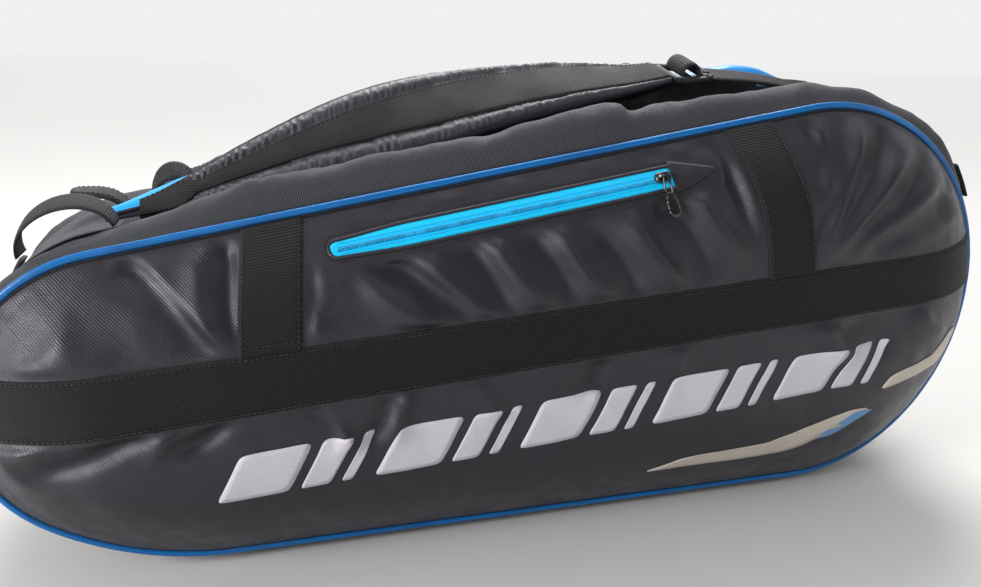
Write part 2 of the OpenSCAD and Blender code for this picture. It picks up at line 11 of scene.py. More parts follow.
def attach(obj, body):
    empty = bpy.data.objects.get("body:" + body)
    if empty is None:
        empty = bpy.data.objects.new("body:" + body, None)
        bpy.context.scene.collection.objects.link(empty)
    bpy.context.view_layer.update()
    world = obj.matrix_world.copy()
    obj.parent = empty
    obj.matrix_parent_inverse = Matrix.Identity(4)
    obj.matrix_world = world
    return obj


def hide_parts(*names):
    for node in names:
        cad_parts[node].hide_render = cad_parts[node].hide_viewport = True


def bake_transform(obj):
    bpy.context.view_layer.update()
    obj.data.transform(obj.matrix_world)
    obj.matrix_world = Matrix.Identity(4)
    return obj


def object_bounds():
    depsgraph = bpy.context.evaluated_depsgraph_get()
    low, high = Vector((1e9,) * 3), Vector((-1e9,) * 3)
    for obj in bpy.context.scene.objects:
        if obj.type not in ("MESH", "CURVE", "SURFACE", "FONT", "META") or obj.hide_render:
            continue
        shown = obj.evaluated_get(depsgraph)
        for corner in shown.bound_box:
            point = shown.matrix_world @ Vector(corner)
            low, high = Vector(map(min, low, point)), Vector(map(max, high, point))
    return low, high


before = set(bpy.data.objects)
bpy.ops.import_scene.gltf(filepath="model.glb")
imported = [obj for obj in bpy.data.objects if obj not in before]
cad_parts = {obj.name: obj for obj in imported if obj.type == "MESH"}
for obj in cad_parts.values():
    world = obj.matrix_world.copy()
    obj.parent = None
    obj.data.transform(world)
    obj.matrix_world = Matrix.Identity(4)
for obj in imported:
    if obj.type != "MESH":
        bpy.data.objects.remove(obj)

CAD_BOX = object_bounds()
MM = 0.001
SAME_POINT = 0.5
SIDES = {"front": -1, "back": 1}

# ---- the bag's outline, seen from the front: x along it, z up ----

BAG_L = 748
HEAD_X = 375
HANDLE_X = HEAD_X - BAG_L
LOOP_Z = 10
PLANE_Y = 100
HANDLE_R, HANDLE_LOW_R, HEAD_R, HEAD_LOW_R = 98, 200, 148, 150
HANDLE_C = np.array([HANDLE_X + HANDLE_R, 125.0])
HEAD_C = np.array([HEAD_X - HEAD_R, 164.0])
HEAD_LOW_C = np.array([HEAD_X - HEAD_LOW_R, LOOP_Z + HEAD_LOW_R], float)
JOIN_A = 180 + math.degrees(math.asin(
    (HANDLE_LOW_R - HANDLE_C[1] + LOOP_Z) / (HANDLE_LOW_R - HANDLE_R)))
HANDLE_LOW_C = np.array([
    HANDLE_C[0] - (HANDLE_LOW_R - HANDLE_R) * math.cos(math.radians(JOIN_A)), LOOP_Z + HANDLE_LOW_R])
_SPREAD = HEAD_C - HANDLE_C
SLOPE = math.atan2(_SPREAD[1], _SPREAD[0]) + math.asin((HEAD_R - HANDLE_R) / np.hypot(*_SPREAD))
TOP_A = 90 + math.degrees(SLOPE)
TOP_DIR = np.array([math.cos(SLOPE), math.sin(SLOPE)])
TOP_N = np.array([-math.sin(SLOPE), math.cos(SLOPE)])
TOP_HEAD = HEAD_C + HEAD_R * TOP_N
TOP_HANDLE = HANDLE_C + HANDLE_R * TOP_N
ZIP_HEAD_A, ZIP_HANDLE_A = 24, 160

# Corners as centre, radius, first and last angle, anticlockwise
FULL_LOOP = [(HEAD_LOW_C, HEAD_LOW_R, 270, 360), (HEAD_C, HEAD_R, 0, TOP_A),
             (HANDLE_C, HANDLE_R, TOP_A, JOIN_A), (HANDLE_LOW_C, HANDLE_LOW_R, JOIN_A, 270)]
LOWER_RUN = [(HANDLE_C, HANDLE_R, ZIP_HANDLE_A, JOIN_A), (HANDLE_LOW_C, HANDLE_LOW_R, JOIN_A, 270),
             (HEAD_LOW_C, HEAD_LOW_R, 270, 360), (HEAD_C, HEAD_R, 0, ZIP_HEAD_A)]
UPPER_RUN = [(HEAD_C, HEAD_R, ZIP_HEAD_A, TOP_A), (HANDLE_C, HANDLE_R, TOP_A, ZIP_HANDLE_A)]


def trace(corners, step, closed=False):
    """Points and outward angles, step apart, along corners joined by straight lines."""
    points, angles = [], []
    for c, r, a0, a1 in corners:
        a = np.linspace(a0, a1, max(3, round(math.radians(a1 - a0) * r / step) + 1))
        p = c + r * outward(np.radians(a))
        if points:
            straight(points, angles, points[-1], p[0], a0, step)
        points += list(p if not points or np.hypot(*(p[0] - points[-1])) > SAME_POINT else p[1:])
        angles += list(a[len(a) - (len(points) - len(angles)):])
    if closed:
        straight(points, angles, points[-1], points[0], corners[-1][3], step)
    return np.array(points), np.radians(np.array(angles))


def straight(points, angles, p, q, angle, step):
    """Adds the points between p and q."""
    n = round(np.hypot(*(q - p)) / step)
    for i in range(1, n):
        points.append(p + (q - p) * i / n)
        angles.append(angle)


def outward(angles):
    return np.stack([np.cos(angles), np.sin(angles)], -1)


def run_length(points):
    """Distance travelled at each point."""
    gaps = np.linalg.norm(np.diff(points, axis=0), axis=1)
    return np.concatenate([[0], np.cumsum(gaps)])


def at_points(at, s, line):
    """A line's points at given distances, where s is the distance at each of its own points."""
    return np.stack([np.interp(at, s, column) for column in np.asarray(line, float).T], 1)


def xyz(x, y, z):
    """Points from three columns, some of which may be single values."""
    return np.stack(np.broadcast_arrays(x, y, z), -1).astype(float)


def stood(flat, y):
    """Points (x, z) stood up at y."""
    return xyz(flat[..., 0], y, flat[..., 1])


def unit(v):
    return v / np.linalg.norm(v, axis=-1, keepdims=True)


def noise_at(x, y, z):
    """Smooth noise at points given as columns."""
    columns = np.broadcast_arrays(*(np.asarray(c, float) for c in (x, y, z)))
    flat = [noise.noise(Vector(p)) for p in zip(*(c.ravel() for c in columns))]
    return np.array(flat).reshape(columns[0].shape)


def table(pairs):
    """A function through a few given points."""
    xs, ys = zip(*pairs)
    return lambda u: np.interp(u, xs, ys)


def soft_table(pairs):
    """The same, with smooth slopes."""
    xs, ys = (np.array(v, float) for v in zip(*pairs))
    fine = np.linspace(xs[0], xs[-1], 241)
    width = (xs[-1] - xs[0]) * 0.045
    kernel = np.exp(-((fine[:, None] - fine[None]) / width) ** 2)
    level = np.interp(fine, xs, ys)
    tilt = (level[-1] - level[0]) / (fine[-1] - fine[0])
    line = level[0] + tilt * (fine - fine[0])
    smooth = line + (kernel @ (level - line)) / kernel.sum(1)
    return lambda u: np.interp(u, fine, smooth)


def mix(a, b, u):
    return a + (b - a) * u


def smoothstep(v):
    v = np.clip(v, 0, 1)
    return v * v * (3 - 2 * v)


def top_z(x):
    """Height of the top line, over the upper corners too."""
    x = np.asarray(x, float)
    head = HEAD_C[1] + np.sqrt(np.maximum(0, HEAD_R ** 2 - (x - HEAD_C[0]) ** 2))
    handle = HANDLE_C[1] + np.sqrt(np.maximum(0, HANDLE_R ** 2 - (x - HANDLE_C[0]) ** 2))
    line = TOP_HANDLE[1] + (x - TOP_HANDLE[0]) * math.tan(SLOPE)
    return np.where(x > TOP_HEAD[0], head, np.where(x < TOP_HANDLE[0], handle, line))


def inset_at(x, z):
    """Distance from the nearest edge of the outline."""
    best = np.minimum((TOP_HEAD[0] - x) * TOP_N[0] + (TOP_HEAD[1] - z) * TOP_N[1], z - LOOP_Z)
    best = np.minimum(best, HEAD_X - x)
    for c, r, a0, a1 in FULL_LOOP:
        a = np.degrees(np.arctan2(z - c[1], x - c[0])) % 360
        inside = (a >= a0) & (a <= a1)
        best = np.minimum(best, np.where(inside, r - np.hypot(x - c[0], z - c[1]), 1e3))
    return np.maximum(best, 0)


BULGE, BULGE_RUN, BULGE_POWER = 46, 95, 2.2


def rise(d):
    """How far a cover stands out of the piping's plane."""
    return BULGE * (1 - (1 - np.minimum(d, BULGE_RUN) / BULGE_RUN) ** BULGE_POWER)


# ---- meshes ----

# How fast a tube's thickness varies along it
WOBBLE_RATE = 0.09


def skin(m, n, closed=True, loop=False, start=0):
    """Quads between m rows of n points; closed joins each row's ends, loop the last row to the first."""
    return [tuple(start + r % m * n + c % n for r, c in ((i, j), (i, j + 1), (i + 1, j + 1), (i + 1, j)))
            for i in range(m if loop else m - 1) for j in range(n if closed else n - 1)]


def capped(m, n, start=0):
    """The same for closed rows, with a face over each end."""
    last = start + (m - 1) * n
    ends = [tuple(range(start + n - 1, start - 1, -1)), tuple(range(last, last + n))]
    return skin(m, n, start=start) + ends


def strip_grain(along, s, width):
    """The cloth's place on a strip's two faces: along it, across it, and its width there."""
    return xyz(along[:, None], np.concatenate([s, s[::-1]]) * width[:, None], width[:, None])


def make(name, points, faces, materials, grain=None):
    """A mesh object from millimetres; grain is the cloth's own place, along, across and a spare."""
    mesh = bpy.data.meshes.new(name)
    mesh.from_pydata((np.asarray(points) * MM).tolist(), [], faces)
    mesh.validate()
    for m in materials if isinstance(materials, (list, tuple)) else [materials]:
        mesh.materials.append(m)
    mesh.polygons.foreach_set("use_smooth", [True] * len(mesh.polygons))
    attribute = mesh.attributes.new("grain", "FLOAT_VECTOR", "POINT")
    g = np.zeros((len(points), 3)) if grain is None else np.asarray(grain, float)
    attribute.data.foreach_set("vector", g.astype(np.float32).ravel())
    return linked(bpy.data.objects.new(name, mesh))


def face_outward(obj):
    """Turns the faces of a closed mesh outward."""
    bm = bmesh.new()
    bm.from_mesh(obj.data)
    bmesh.ops.recalc_face_normals(bm, faces=bm.faces)
    bm.to_mesh(obj.data)
    bm.free()
    return obj


def loft(name, rings, material, loop=False, grain=None):
    """A skin through closed sections; a looped one joins its last section to its first."""
    rings = np.asarray(rings, float)
    m, n = rings.shape[:2]
    faces = skin(m, n, loop=True) if loop else capped(m, n)
    if grain is None:
        gaps = np.linalg.norm(np.diff(rings, axis=1), axis=2).mean(0)
        grain = xyz(run_length(rings.mean(1))[:, None], np.concatenate([[0], np.cumsum(gaps)]), 0)
    return face_outward(make(name, rings.reshape(-1, 3), faces, material, grain.reshape(-1, 3)))


def sheet_grid(name, grid, material, grain, thickness, looks, inner=None):
    """A cloth surface from a grid of points, facing along looks, with a thickness on its inner side."""
    m, n = grid.shape[:2]
    faces = skin(m, n, closed=False)
    a, b = grid[m // 2, n // 2], grid[m // 2 + 1, n // 2]
    if np.cross(grid[m // 2, n // 2 + 1] - a, b - a) @ np.asarray(looks, float) < 0:
        faces = [f[::-1] for f in faces]
    obj = make(name, grid.reshape(-1, 3), faces, [material, inner or material], grain.reshape(-1, 3))
    thicken(obj, thickness, inner is not None)
    return obj


def thicken(obj, thickness, lined=False):
    """Gives a surface its thickness on the side away from its normals."""
    solid = obj.modifiers.new("thickness", "SOLIDIFY")
    solid.thickness = thickness * MM
    solid.offset = -1
    solid.use_even_offset = False
    if lined:
        solid.material_offset = 1
        solid.material_offset_rim = 1


def ribbon(name, left, right, normal, thickness, material, across=8, bed=0.3, crown=0.0):
    """A woven strip between two edge lines; normal is where its face looks."""
    s = np.linspace(0, 1, across + 1)
    rim = np.minimum(1, np.minimum(s, 1 - s) * across * 0.9 + 0.45)
    face = left[:, None] + (right - left)[:, None] * s[:, None]
    up = normal[:, None] * (thickness * rim + crown * np.sin(np.pi * s))[:, None]
    rings = np.concatenate([face + up, (face - normal[:, None] * bed)[:, ::-1]], 1)
    grain = strip_grain(run_length((left + right) / 2), s, np.linalg.norm(right - left, axis=1))
    return loft(name, rings, material, grain=grain)


def tube(name, path, radius, material, sides=12, loop=False, flat=1.0, up=(0, 1, 0), wobble=0.0):
    """A round or flattened tube along a path."""
    forward = np.roll(path, -1, 0) - np.roll(path, 1, 0) if loop else np.gradient(path, axis=0)
    forward = unit(forward)
    side = unit(np.cross(forward, np.broadcast_to(np.asarray(up, float), path.shape)))
    up = np.cross(side, forward)
    a = np.arange(sides) * 2 * np.pi / sides
    r = np.broadcast_to(np.asarray(radius, float), (len(path),))[:, None]
    if wobble:
        r = r * (1 + wobble * noise_at(*(path * WOBBLE_RATE).T))[:, None]
    rings = (path[:, None] + side[:, None] * (r * np.cos(a))[..., None]
             + up[:, None] * (r * np.sin(a) * flat)[..., None])
    return loft(name, rings, material, loop=loop)


def merged(name, objs):
    """Joins pieces into one, and drops them."""
    points, faces, grain, material_index, mats, offset = [], [], [], [], [], 0
    for o in objs:
        mesh = o.data
        points.append(coords(o))
        grain.append(read(mesh.attributes["grain"].data, "vector"))
        for m in mesh.materials:
            if m not in mats:
                mats.append(m)
        faces += [tuple(v + offset for v in p.vertices) for p in mesh.polygons]
        material_index += [mats.index(mesh.materials[p.material_index]) for p in mesh.polygons]
        offset += len(mesh.vertices)
        bpy.data.objects.remove(o)
        bpy.data.meshes.remove(mesh)
    obj = make(name, np.concatenate(points), faces, mats, np.concatenate(grain))
    obj.data.polygons.foreach_set("material_index", material_index)
    return obj


def bars(name, sections, material):
    """Bars made into one piece, each of (centre, half width, half height, their two directions) rows."""
    circle = outward(np.arange(16) * 2 * np.pi / 16)
    square = np.sign(circle) * np.abs(circle) ** 0.5
    parts = []
    for k, rows in enumerate(sections):
        rings = [c + w * square[:, :1] * u + h * square[:, 1:] * v for c, w, h, u, v in rows]
        parts.append(loft(f"{name}_{k}", rings, material))
    return merged(name, parts)


def thread(name, path, normal, material, pitch=3.4, length=2.5, radius=0.36):
    """Stitches lying on a surface along a path."""
    normal = np.broadcast_to(np.asarray(normal, float), path.shape)
    s = run_length(path)
    at = np.arange(pitch / 2, s[-1] - length / 2, pitch)
    sides, rows = 6, 5
    swell = np.sin(np.pi * np.linspace(0.08, 0.92, rows))[:, None] * radius
    a = np.arange(sides) * 2 * np.pi / sides
    points, faces = [], []
    for k, d in enumerate(at):
        t = np.linspace(d - length / 2, d + length / 2, rows)
        p, n = at_points(t, s, path), unit(at_points(t, s, normal))
        b = np.cross(unit(p[-1] - p[0]), n)
        points.append(p[:, None] + n[:, None] * (swell * (0.55 + np.sin(a)))[..., None]
                      + b[:, None] * (swell * np.cos(a))[..., None])
        faces += capped(rows, sides, k * sides * rows)
    grain = xyz(np.repeat(at, sides * rows), 0, 0)
    return face_outward(make(name, np.concatenate(points).reshape(-1, 3), faces, material, grain))


def read(data, key):
    """Three numbers for each point of a mesh."""
    out = np.empty(len(data) * 3)
    data.foreach_get(key, out)
    return out.reshape(-1, 3)


def coords(obj, evaluated=False):
    """An object's points, in millimetres."""
    if evaluated:
        obj = obj.evaluated_get(bpy.context.evaluated_depsgraph_get())
    return read(obj.data.vertices, "co") / MM


def linked(obj):
    bpy.context.scene.collection.objects.link(obj)
    return obj


SETTLE_FRAMES = 20
CLOTH = {"quality": 4, "mass": 0.2, "tension_stiffness": 12, "compression_stiffness": 12,
         "shear_stiffness": 6, "bending_stiffness": 0.5, "use_pressure": True,
         "uniform_pressure_force": 2.0, "shrink_min": -0.03, "pin_stiffness": 20}


def settle(obj, hold, cap, shape=None):
    """Lets a piece settle as cloth where it isn't held; moves stay under cap, evened out over shape."""
    before = coords(obj)
    group = obj.vertex_groups.new(name="held")
    group.add(np.nonzero(hold)[0].tolist(), 1.0, "REPLACE")
    others = list(obj.modifiers)
    cloth = obj.modifiers.new("settle", "CLOTH")
    for key, value in CLOTH.items():
        setattr(cloth.settings, key, value)
    cloth.settings.effector_weights.gravity = 0
    cloth.settings.vertex_group_mass = group.name
    cloth.collision_settings.use_collision = False
    cloth.point_cache.frame_start = 1
    cloth.point_cache.frame_end = SETTLE_FRAMES
    scene = bpy.context.scene
    for m in others:
        m.show_viewport = False
    for f in range(1, SETTLE_FRAMES + 1):
        scene.frame_set(f)
    move = coords(obj, evaluated=True) - before
    if shape:
        move = blur(blur(move.reshape(*shape, 3), 3).swapaxes(0, 1), 3).swapaxes(0, 1).reshape(-1, 3)
    size = np.linalg.norm(move, axis=1)
    move *= (np.minimum(size, cap * np.tanh(size / cap)) / np.maximum(size, 1e-9))[:, None]
    obj.modifiers.remove(cloth)
    obj.vertex_groups.remove(group)
    obj.data.vertices.foreach_set("co", ((before + move) * MM).ravel())
    obj.data.update()
    for m in others:
        m.show_viewport = True
    scene.frame_set(1)


def subdivide(obj, levels=1):
    sub = obj.modifiers.new("smooth", "SUBSURF")
    sub.levels = sub.render_levels = levels
    return obj


# ---- materials ----

class Graph:
    """Short words for building a node material."""

    def __init__(self, name, color, rough, **inputs):
        self.material = bpy.data.materials.new(name)
        self.material.use_nodes = True
        self.tree = self.material.node_tree
        self.bsdf = self.tree.nodes["Principled BSDF"]
        self.bsdf.inputs["Base Color"].default_value = (*color, 1)
        self.bsdf.inputs["Roughness"].default_value = rough
        for key, value in inputs.items():
            self.bsdf.inputs[key.replace("_", " ")].default_value = value
        self.grain = self.node("ShaderNodeAttribute", attribute_name="grain").outputs["Vector"]

    def node(self, kind, inputs=(), **settings):
        """A node with its settings; its inputs go by name or number."""
        n = self.tree.nodes.new(kind)
        for key, value in settings.items():
            setattr(n, key, value)
        for key, value in dict(inputs).items():
            if isinstance(value, bpy.types.NodeSocket):
                self.tree.links.new(value, n.inputs[key])
            else:
                n.inputs[key].default_value = value
        return n

    def math(self, operation, a, b, clamp=False):
        return self.node("ShaderNodeMath", {0: a, 1: b}, operation=operation, use_clamp=clamp).outputs[0]

    def times(self, a, b):
        return self.math("MULTIPLY", a, b)

    def total(self, *pairs, clamp=False):
        """The sum of some values, each times its weight."""
        terms = [value if weight == 1 else self.times(value, weight) for value, weight in pairs]
        out = terms[0]
        for term in terms[1:]:
            out = self.math("ADD", out, term, clamp)
        return out

    def split(self):
        return self.node("ShaderNodeSeparateXYZ", {0: self.grain}).outputs

    def lines(self, u, v, a, b, pitch):
        """Parallel lines across the direction (a, b), from 0 to 1."""
        n = self.math("ADD", self.times(u, a), self.times(v, b))
        s = self.math("SINE", self.times(n, 2 * math.pi / pitch), 0)
        return self.math("ADD", self.times(s, 0.5), 0.5)

    def spots(self, where, scale, detail=2.0, rough=0.5):
        """Soft noise."""
        inputs = {"Vector": where, "Scale": scale, "Detail": detail, "Roughness": rough}
        return self.node("ShaderNodeTexNoise", inputs).outputs["Fac"]

    def cloud(self, size, detail=3.0, rough=0.55, stretch=(1, 1, 1)):
        """Soft noise on the cloth, its spots about size millimetres wide."""
        inputs = {0: self.grain, 1: tuple(s / size for s in stretch)}
        scaled = self.node("ShaderNodeVectorMath", inputs, operation="MULTIPLY")
        return self.spots(scaled.outputs[0], 1, detail, rough)

    def ramp(self, value, low, high, a, b):
        """From a where value is low to b where it is high."""
        inputs = dict(enumerate((value, low, high, a, b)))
        return self.node("ShaderNodeMapRange", inputs, interpolation_type="SMOOTHSTEP").outputs["Result"]

    def tint(self, value, dark, light):
        inputs = {"Factor": value, 6: (*dark, 1), 7: (*light, 1)}
        return self.node("ShaderNodeMix", inputs, data_type="RGBA").outputs[2]

    def finish(self, color, rough=None, height=None, depth=0.3):
        """Joins what is given to the shader; height becomes a bump, depth millimetres deep."""
        joined = {"Base Color": color, "Roughness": rough}
        if height is not None:
            bump = self.node("ShaderNodeBump", {"Strength": 1.0, "Distance": depth * MM, "Height": height})
            joined["Normal"] = bump.outputs["Normal"]
        for key, value in joined.items():
            if value is not None:
                self.tree.links.new(value, self.bsdf.inputs[key])
        return self.material


def twill(name, dark, light, pitch, rough, sheen=0.05, depth=0.25):
    """Diagonal woven fabric with a fine cross thread."""
    g = Graph(name, dark, rough, Sheen_Weight=sheen, Sheen_Roughness=0.45, Sheen_Tint=(0.6, 0.6, 0.7, 1),
              Specular_IOR_Level=0.3)
    u, v, _ = g.split()
    diagonal = g.lines(u, v, 1, 1, pitch)
    height = g.total((diagonal, 0.75), (g.lines(u, v, 1, -1, pitch * 0.55), 0.3), (g.cloud(0.7, 2), 0.5))
    blot = g.cloud(34, 4)
    shade = g.total((diagonal, 0.45), (blot, 0.55))
    return g.finish(g.tint(shade, dark, light), g.ramp(blot, 0.3, 0.7, rough - 0.06, rough + 0.08),
                    height, depth)


def nylon(name, dark, light, rough, coarse):
    """Light ripstop nylon: a fine dobby in rows, with a raised thread now and then."""
    g = Graph(name, dark, rough, Sheen_Weight=0.02, Sheen_Roughness=0.35,
              Sheen_Tint=(0.8, 0.8, 0.92, 1), Specular_IOR_Level=0.42, Specular_Tint=(0.95, 0.93, 1, 1))
    u, v, _ = g.split()
    rows = g.lines(u, v, 0.9, 1, coarse)
    threads = g.times(g.lines(u, v, 1, 0, 0.8), g.lines(u, v, 0, 1, 0.8))
    rip = g.math("POWER", g.lines(u, v, 0.9, 1, coarse * 4), 10.0)
    crease = g.cloud(16, 5, 0.62)
    height = g.total((rows, 0.75), (threads, 0.5), (rip, 0.3), (crease, 3.2))
    shade = g.total((rows, 0.55), (g.cloud(48, 4), 0.45))
    return g.finish(g.tint(shade, dark, light), g.ramp(crease, 0.3, 0.7, rough - 0.05, rough + 0.09),
                    height, 0.12)


def ribbed(name, dark, light, pitch, rough, across=True, depth=0.4):
    """Webbing: thick weft ribs with fine warp threads over them, and worn, paler edges."""
    g = Graph(name, dark, rough, Sheen_Weight=0.03, Sheen_Roughness=0.5, Specular_IOR_Level=0.18)
    u, v, width = g.split()
    ribs = g.lines(u, v, float(across), float(not across), pitch)
    checks = g.times(g.lines(u, v, 1, 0.55, pitch * 0.62), g.lines(u, v, -0.55, 1, pitch * 0.62))
    fibre = g.cloud(0.8, 3, 0.6, (1, 2.5, 1) if across else (2.5, 1, 1))
    height = g.total((ribs, 0.8), (checks, 0.55), (fibre, 0.5))
    edge = g.math("MINIMUM", v, g.math("SUBTRACT", width, v))
    wear = g.times(g.ramp(edge, 2.2, 0.3, 0.0, 0.7), g.cloud(5, 3))
    shade = g.total((g.times(ribs, fibre), 0.75), (wear, 1), clamp=True)
    return g.finish(g.tint(shade, dark, light), None, height, depth)


def vinyl(name, color, deep, rough, coat):
    """Smooth coated vinyl with a faint orange peel, scuffs and grime."""
    g = Graph(name, color, rough, Coat_Weight=coat, Coat_Roughness=0.12, Specular_IOR_Level=0.36)
    scuff = g.cloud(22, 6, 0.7, (0.4, 1.6, 1))
    shade = g.ramp(scuff, 0.35, 0.72, 1.0, 0.0)
    return g.finish(g.tint(shade, deep, color), g.ramp(scuff, 0.35, 0.7, rough, rough + 0.16),
                    g.total((g.cloud(1.6, 3), 1), (scuff, 1.5)), 0.05)


def moulded(name, dark, light, rough, metallic=0.0, coat=0.0):
    """Moulded plastic or lacquered metal with fine grain and rubbed spots."""
    g = Graph(name, dark, rough, Metallic=metallic, Coat_Weight=coat, Coat_Roughness=0.2)
    position = g.node("ShaderNodeTexCoord").outputs["Object"]
    rub = g.spots(position, 140)
    return g.finish(g.tint(g.ramp(rub, 0.4, 0.75, 0.0, 1.0), dark, light),
                    g.ramp(rub, 0.35, 0.7, rough, rough + 0.14), g.spots(position, 900, 3), 0.06)


def print_ink(name, color, worn, rough):
    """Screen print that follows the cloth's weave, thin and cracked in places."""
    g = Graph(name, color, rough, Specular_IOR_Level=0.5, Sheen_Weight=0.1)
    u, v, _ = g.split()
    weave = g.times(g.lines(u, v, 0.9, 1, 1.6), g.lines(u, v, -1, 0.9, 1.1))
    speck = g.cloud(1.3, 4, 0.7)
    worn_spots = g.times(g.ramp(speck, 0.58, 0.72, 0.0, 1.0), g.ramp(g.cloud(30, 4), 0.35, 0.7, 0.15, 1.0))
    shade = g.total((worn_spots, 1), (weave, 0.22), clamp=True)
    return g.finish(g.tint(shade, color, worn), None, g.math("ADD", weave, speck), 0.12)


M = {
    "panel": nylon("panel_nylon", (0.0082, 0.0080, 0.0104), (0.0235, 0.0225, 0.0290), 0.39, 2.0),
    "strap": nylon("strap_nylon", (0.024, 0.024, 0.028), (0.056, 0.055, 0.064), 0.40, 1.2),
    "twill": twill("gusset_twill", (0.0122, 0.0130, 0.0158), (0.051, 0.054, 0.064), 1.7, 0.55, depth=0.4),
    "strap_twill": twill("strap_twill", (0.0045, 0.0045, 0.005), (0.016, 0.016, 0.018), 2.1, 0.7, 0.02),
    "lining": twill("lining_cloth", (0.05, 0.055, 0.065), (0.09, 0.095, 0.11), 1.1, 0.6, 0.1),
    "webbing": ribbed("webbing_cross", (0.004, 0.004, 0.0045), (0.032, 0.032, 0.035), 1.6, 0.6),
    "band": ribbed("webbing_band", (0.004, 0.004, 0.0045), (0.025, 0.025, 0.027), 1.6, 0.62, False),
    "binding": ribbed("edge_binding", (0.005, 0.0055, 0.009), (0.018, 0.019, 0.028), 1.3, 0.6),
    "piping": vinyl("piping_vinyl", (0.0, 0.13, 0.40), (0.0, 0.08, 0.27), 0.24, 0.06),
    "inset": vinyl("inset_vinyl", (0.001, 0.37, 0.90), (0.001, 0.26, 0.74), 0.34, 0.2),
    "tape_black": ribbed("zip_tape", (0.008, 0.008, 0.009), (0.03, 0.03, 0.033), 1.2, 0.65, False, 0.2),
    "tape_cyan": ribbed("zip_tape_bright", (0.0, 0.50, 0.92), (0.02, 0.70, 1.0), 1.0, 0.5, False, 0.18),
    "coil_black": moulded("coil_black", (0.012, 0.012, 0.013), (0.04, 0.04, 0.045), 0.38),
    "coil_cyan": moulded("coil_cyan", (0.0, 0.28, 0.55), (0.01, 0.44, 0.78), 0.36),
    "slider": moulded("slider_enamel", (0.006, 0.006, 0.007), (0.05, 0.05, 0.055), 0.16, 0.3, 0.8),
    "buckle": moulded("buckle_plastic", (0.008, 0.008, 0.009), (0.03, 0.03, 0.033), 0.55),
    "silver": print_ink("print_silver", (0.52, 0.50, 0.56), (0.28, 0.27, 0.31), 0.42),
    "beige": print_ink("print_beige", (0.47, 0.42, 0.36), (0.25, 0.22, 0.19), 0.45),
    "slash": print_ink("print_blue", (0.07, 0.23, 0.45), (0.04, 0.14, 0.30), 0.45),
    "thread": moulded("sewing_thread", (0.012, 0.012, 0.014), (0.035, 0.035, 0.04), 0.6),
}


def place(obj, body, slot, *nodes):
    """Settles where a piece belongs: its body and the CAD nodes it stands for; its finish, slot, is not used.
    """
    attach(obj, body)
    if nodes:
        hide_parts(*nodes)
    return obj


# ---- covers ----

EDGE_INSET = 2.9
WEBBING_W, WEBBING_T = 38, 1.6
BAND_HANDLE = np.array([HANDLE_X + 5, 134.0])
BAND_HEAD = np.array([HEAD_X - 5, 194.0])
CROSS = {"handle": (-203, -209), "head": (130, 151)}
ZIP_INSET, ZIP_END_S, ZIP_L, TAPE_W = 23.5, -128, 235, 12
ZIP_TRAVEL, SLIDER_BACK, PULLER_LANE = 215, 5.5, 34
# How wide the cloth is held flat beside the trim, and over what distance it comes free
TRIM_FADE, ZIP_HOLD, ZIP_FADE = 7, 9.5, 9
# The cloth under the hanging puller stays nearly flat
LANE_HOLD, LANE_FADE = 0.88, 12

# Soft folds of a front cover: from x, z to x, z, with height and half width
FRONT_FOLDS = [
    (-282, 226, -222, 166, -3.4, 9), (-262, 222, -206, 172, 2.4, 9), (-214, 236, -211, 172, -2.6, 6),
    (-226, 236, -222, 176, 2.0, 7), (-163, 236, -169, 176, -2.2, 6), (-152, 222, -162, 168, 1.8, 7),
    (-150, 222, -72, 172, 2.6, 9), (-134, 222, -60, 178, -2.8, 9), (-96, 226, -46, 176, 2.4, 10),
    (-74, 236, -38, 182, -2.6, 9), (-52, 236, -12, 186, 2.6, 9), (-28, 236, 6, 188, -2.4, 9),
    (-6, 238, 30, 190, 2.4, 9), (18, 236, 52, 190, -2.4, 9), (44, 246, 84, 196, 2.6, 9),
    (66, 256, 104, 204, -2.4, 10), (92, 268, 128, 214, 2.4, 8), (108, 292, 140, 222, -2.4, 7),
    (20, 286, 56, 262, 1.4, 7), (46, 292, 84, 272, -1.4, 6), (84, 300, 112, 262, 1.6, 6),
    (-40, 274, -16, 256, 1.2, 7), (-86, 266, -62, 250, 1.0, 7), (192, 300, 190, 262, -2.2, 5),
    (206, 304, 196, 256, 1.8, 6), (238, 302, 196, 222, 3.4, 9), (222, 298, 188, 226, -2.6, 7),
    (276, 284, 202, 212, 3.2, 10), (258, 296, 200, 224, -3.0, 8), (310, 262, 222, 214, 2.6, 11),
    (296, 276, 214, 220, -2.6, 9), (338, 236, 252, 214, 1.8, 12), (322, 250, 236, 214, -2.0, 10),
    (-172, 136, -152, 104, -2.0, 6), (-160, 136, -136, 100, 1.8, 6), (-116, 138, -134, 98, -2.2, 7),
    (-100, 140, -116, 100, 2.0, 8), (-214, 132, -244, 108, -2.0, 7), (-228, 132, -262, 106, 2.0, 8),
    (-256, 130, -330, 94, -3.0, 9), (-280, 128, -344, 106, 2.4, 9), (-60, 142, -40, 112, 1.4, 8),
    (30, 148, 14, 118, -1.6, 8), (96, 156, 84, 128, 1.4, 7), (200, 168, 236, 128, 2.0, 10),
    (226, 166, 262, 132, -1.8, 9), (286, 170, 320, 140, 1.6, 9), (-330, 160, -300, 186, 1.4, 12),
    (-350, 120, -330, 86, 1.2, 9),
]
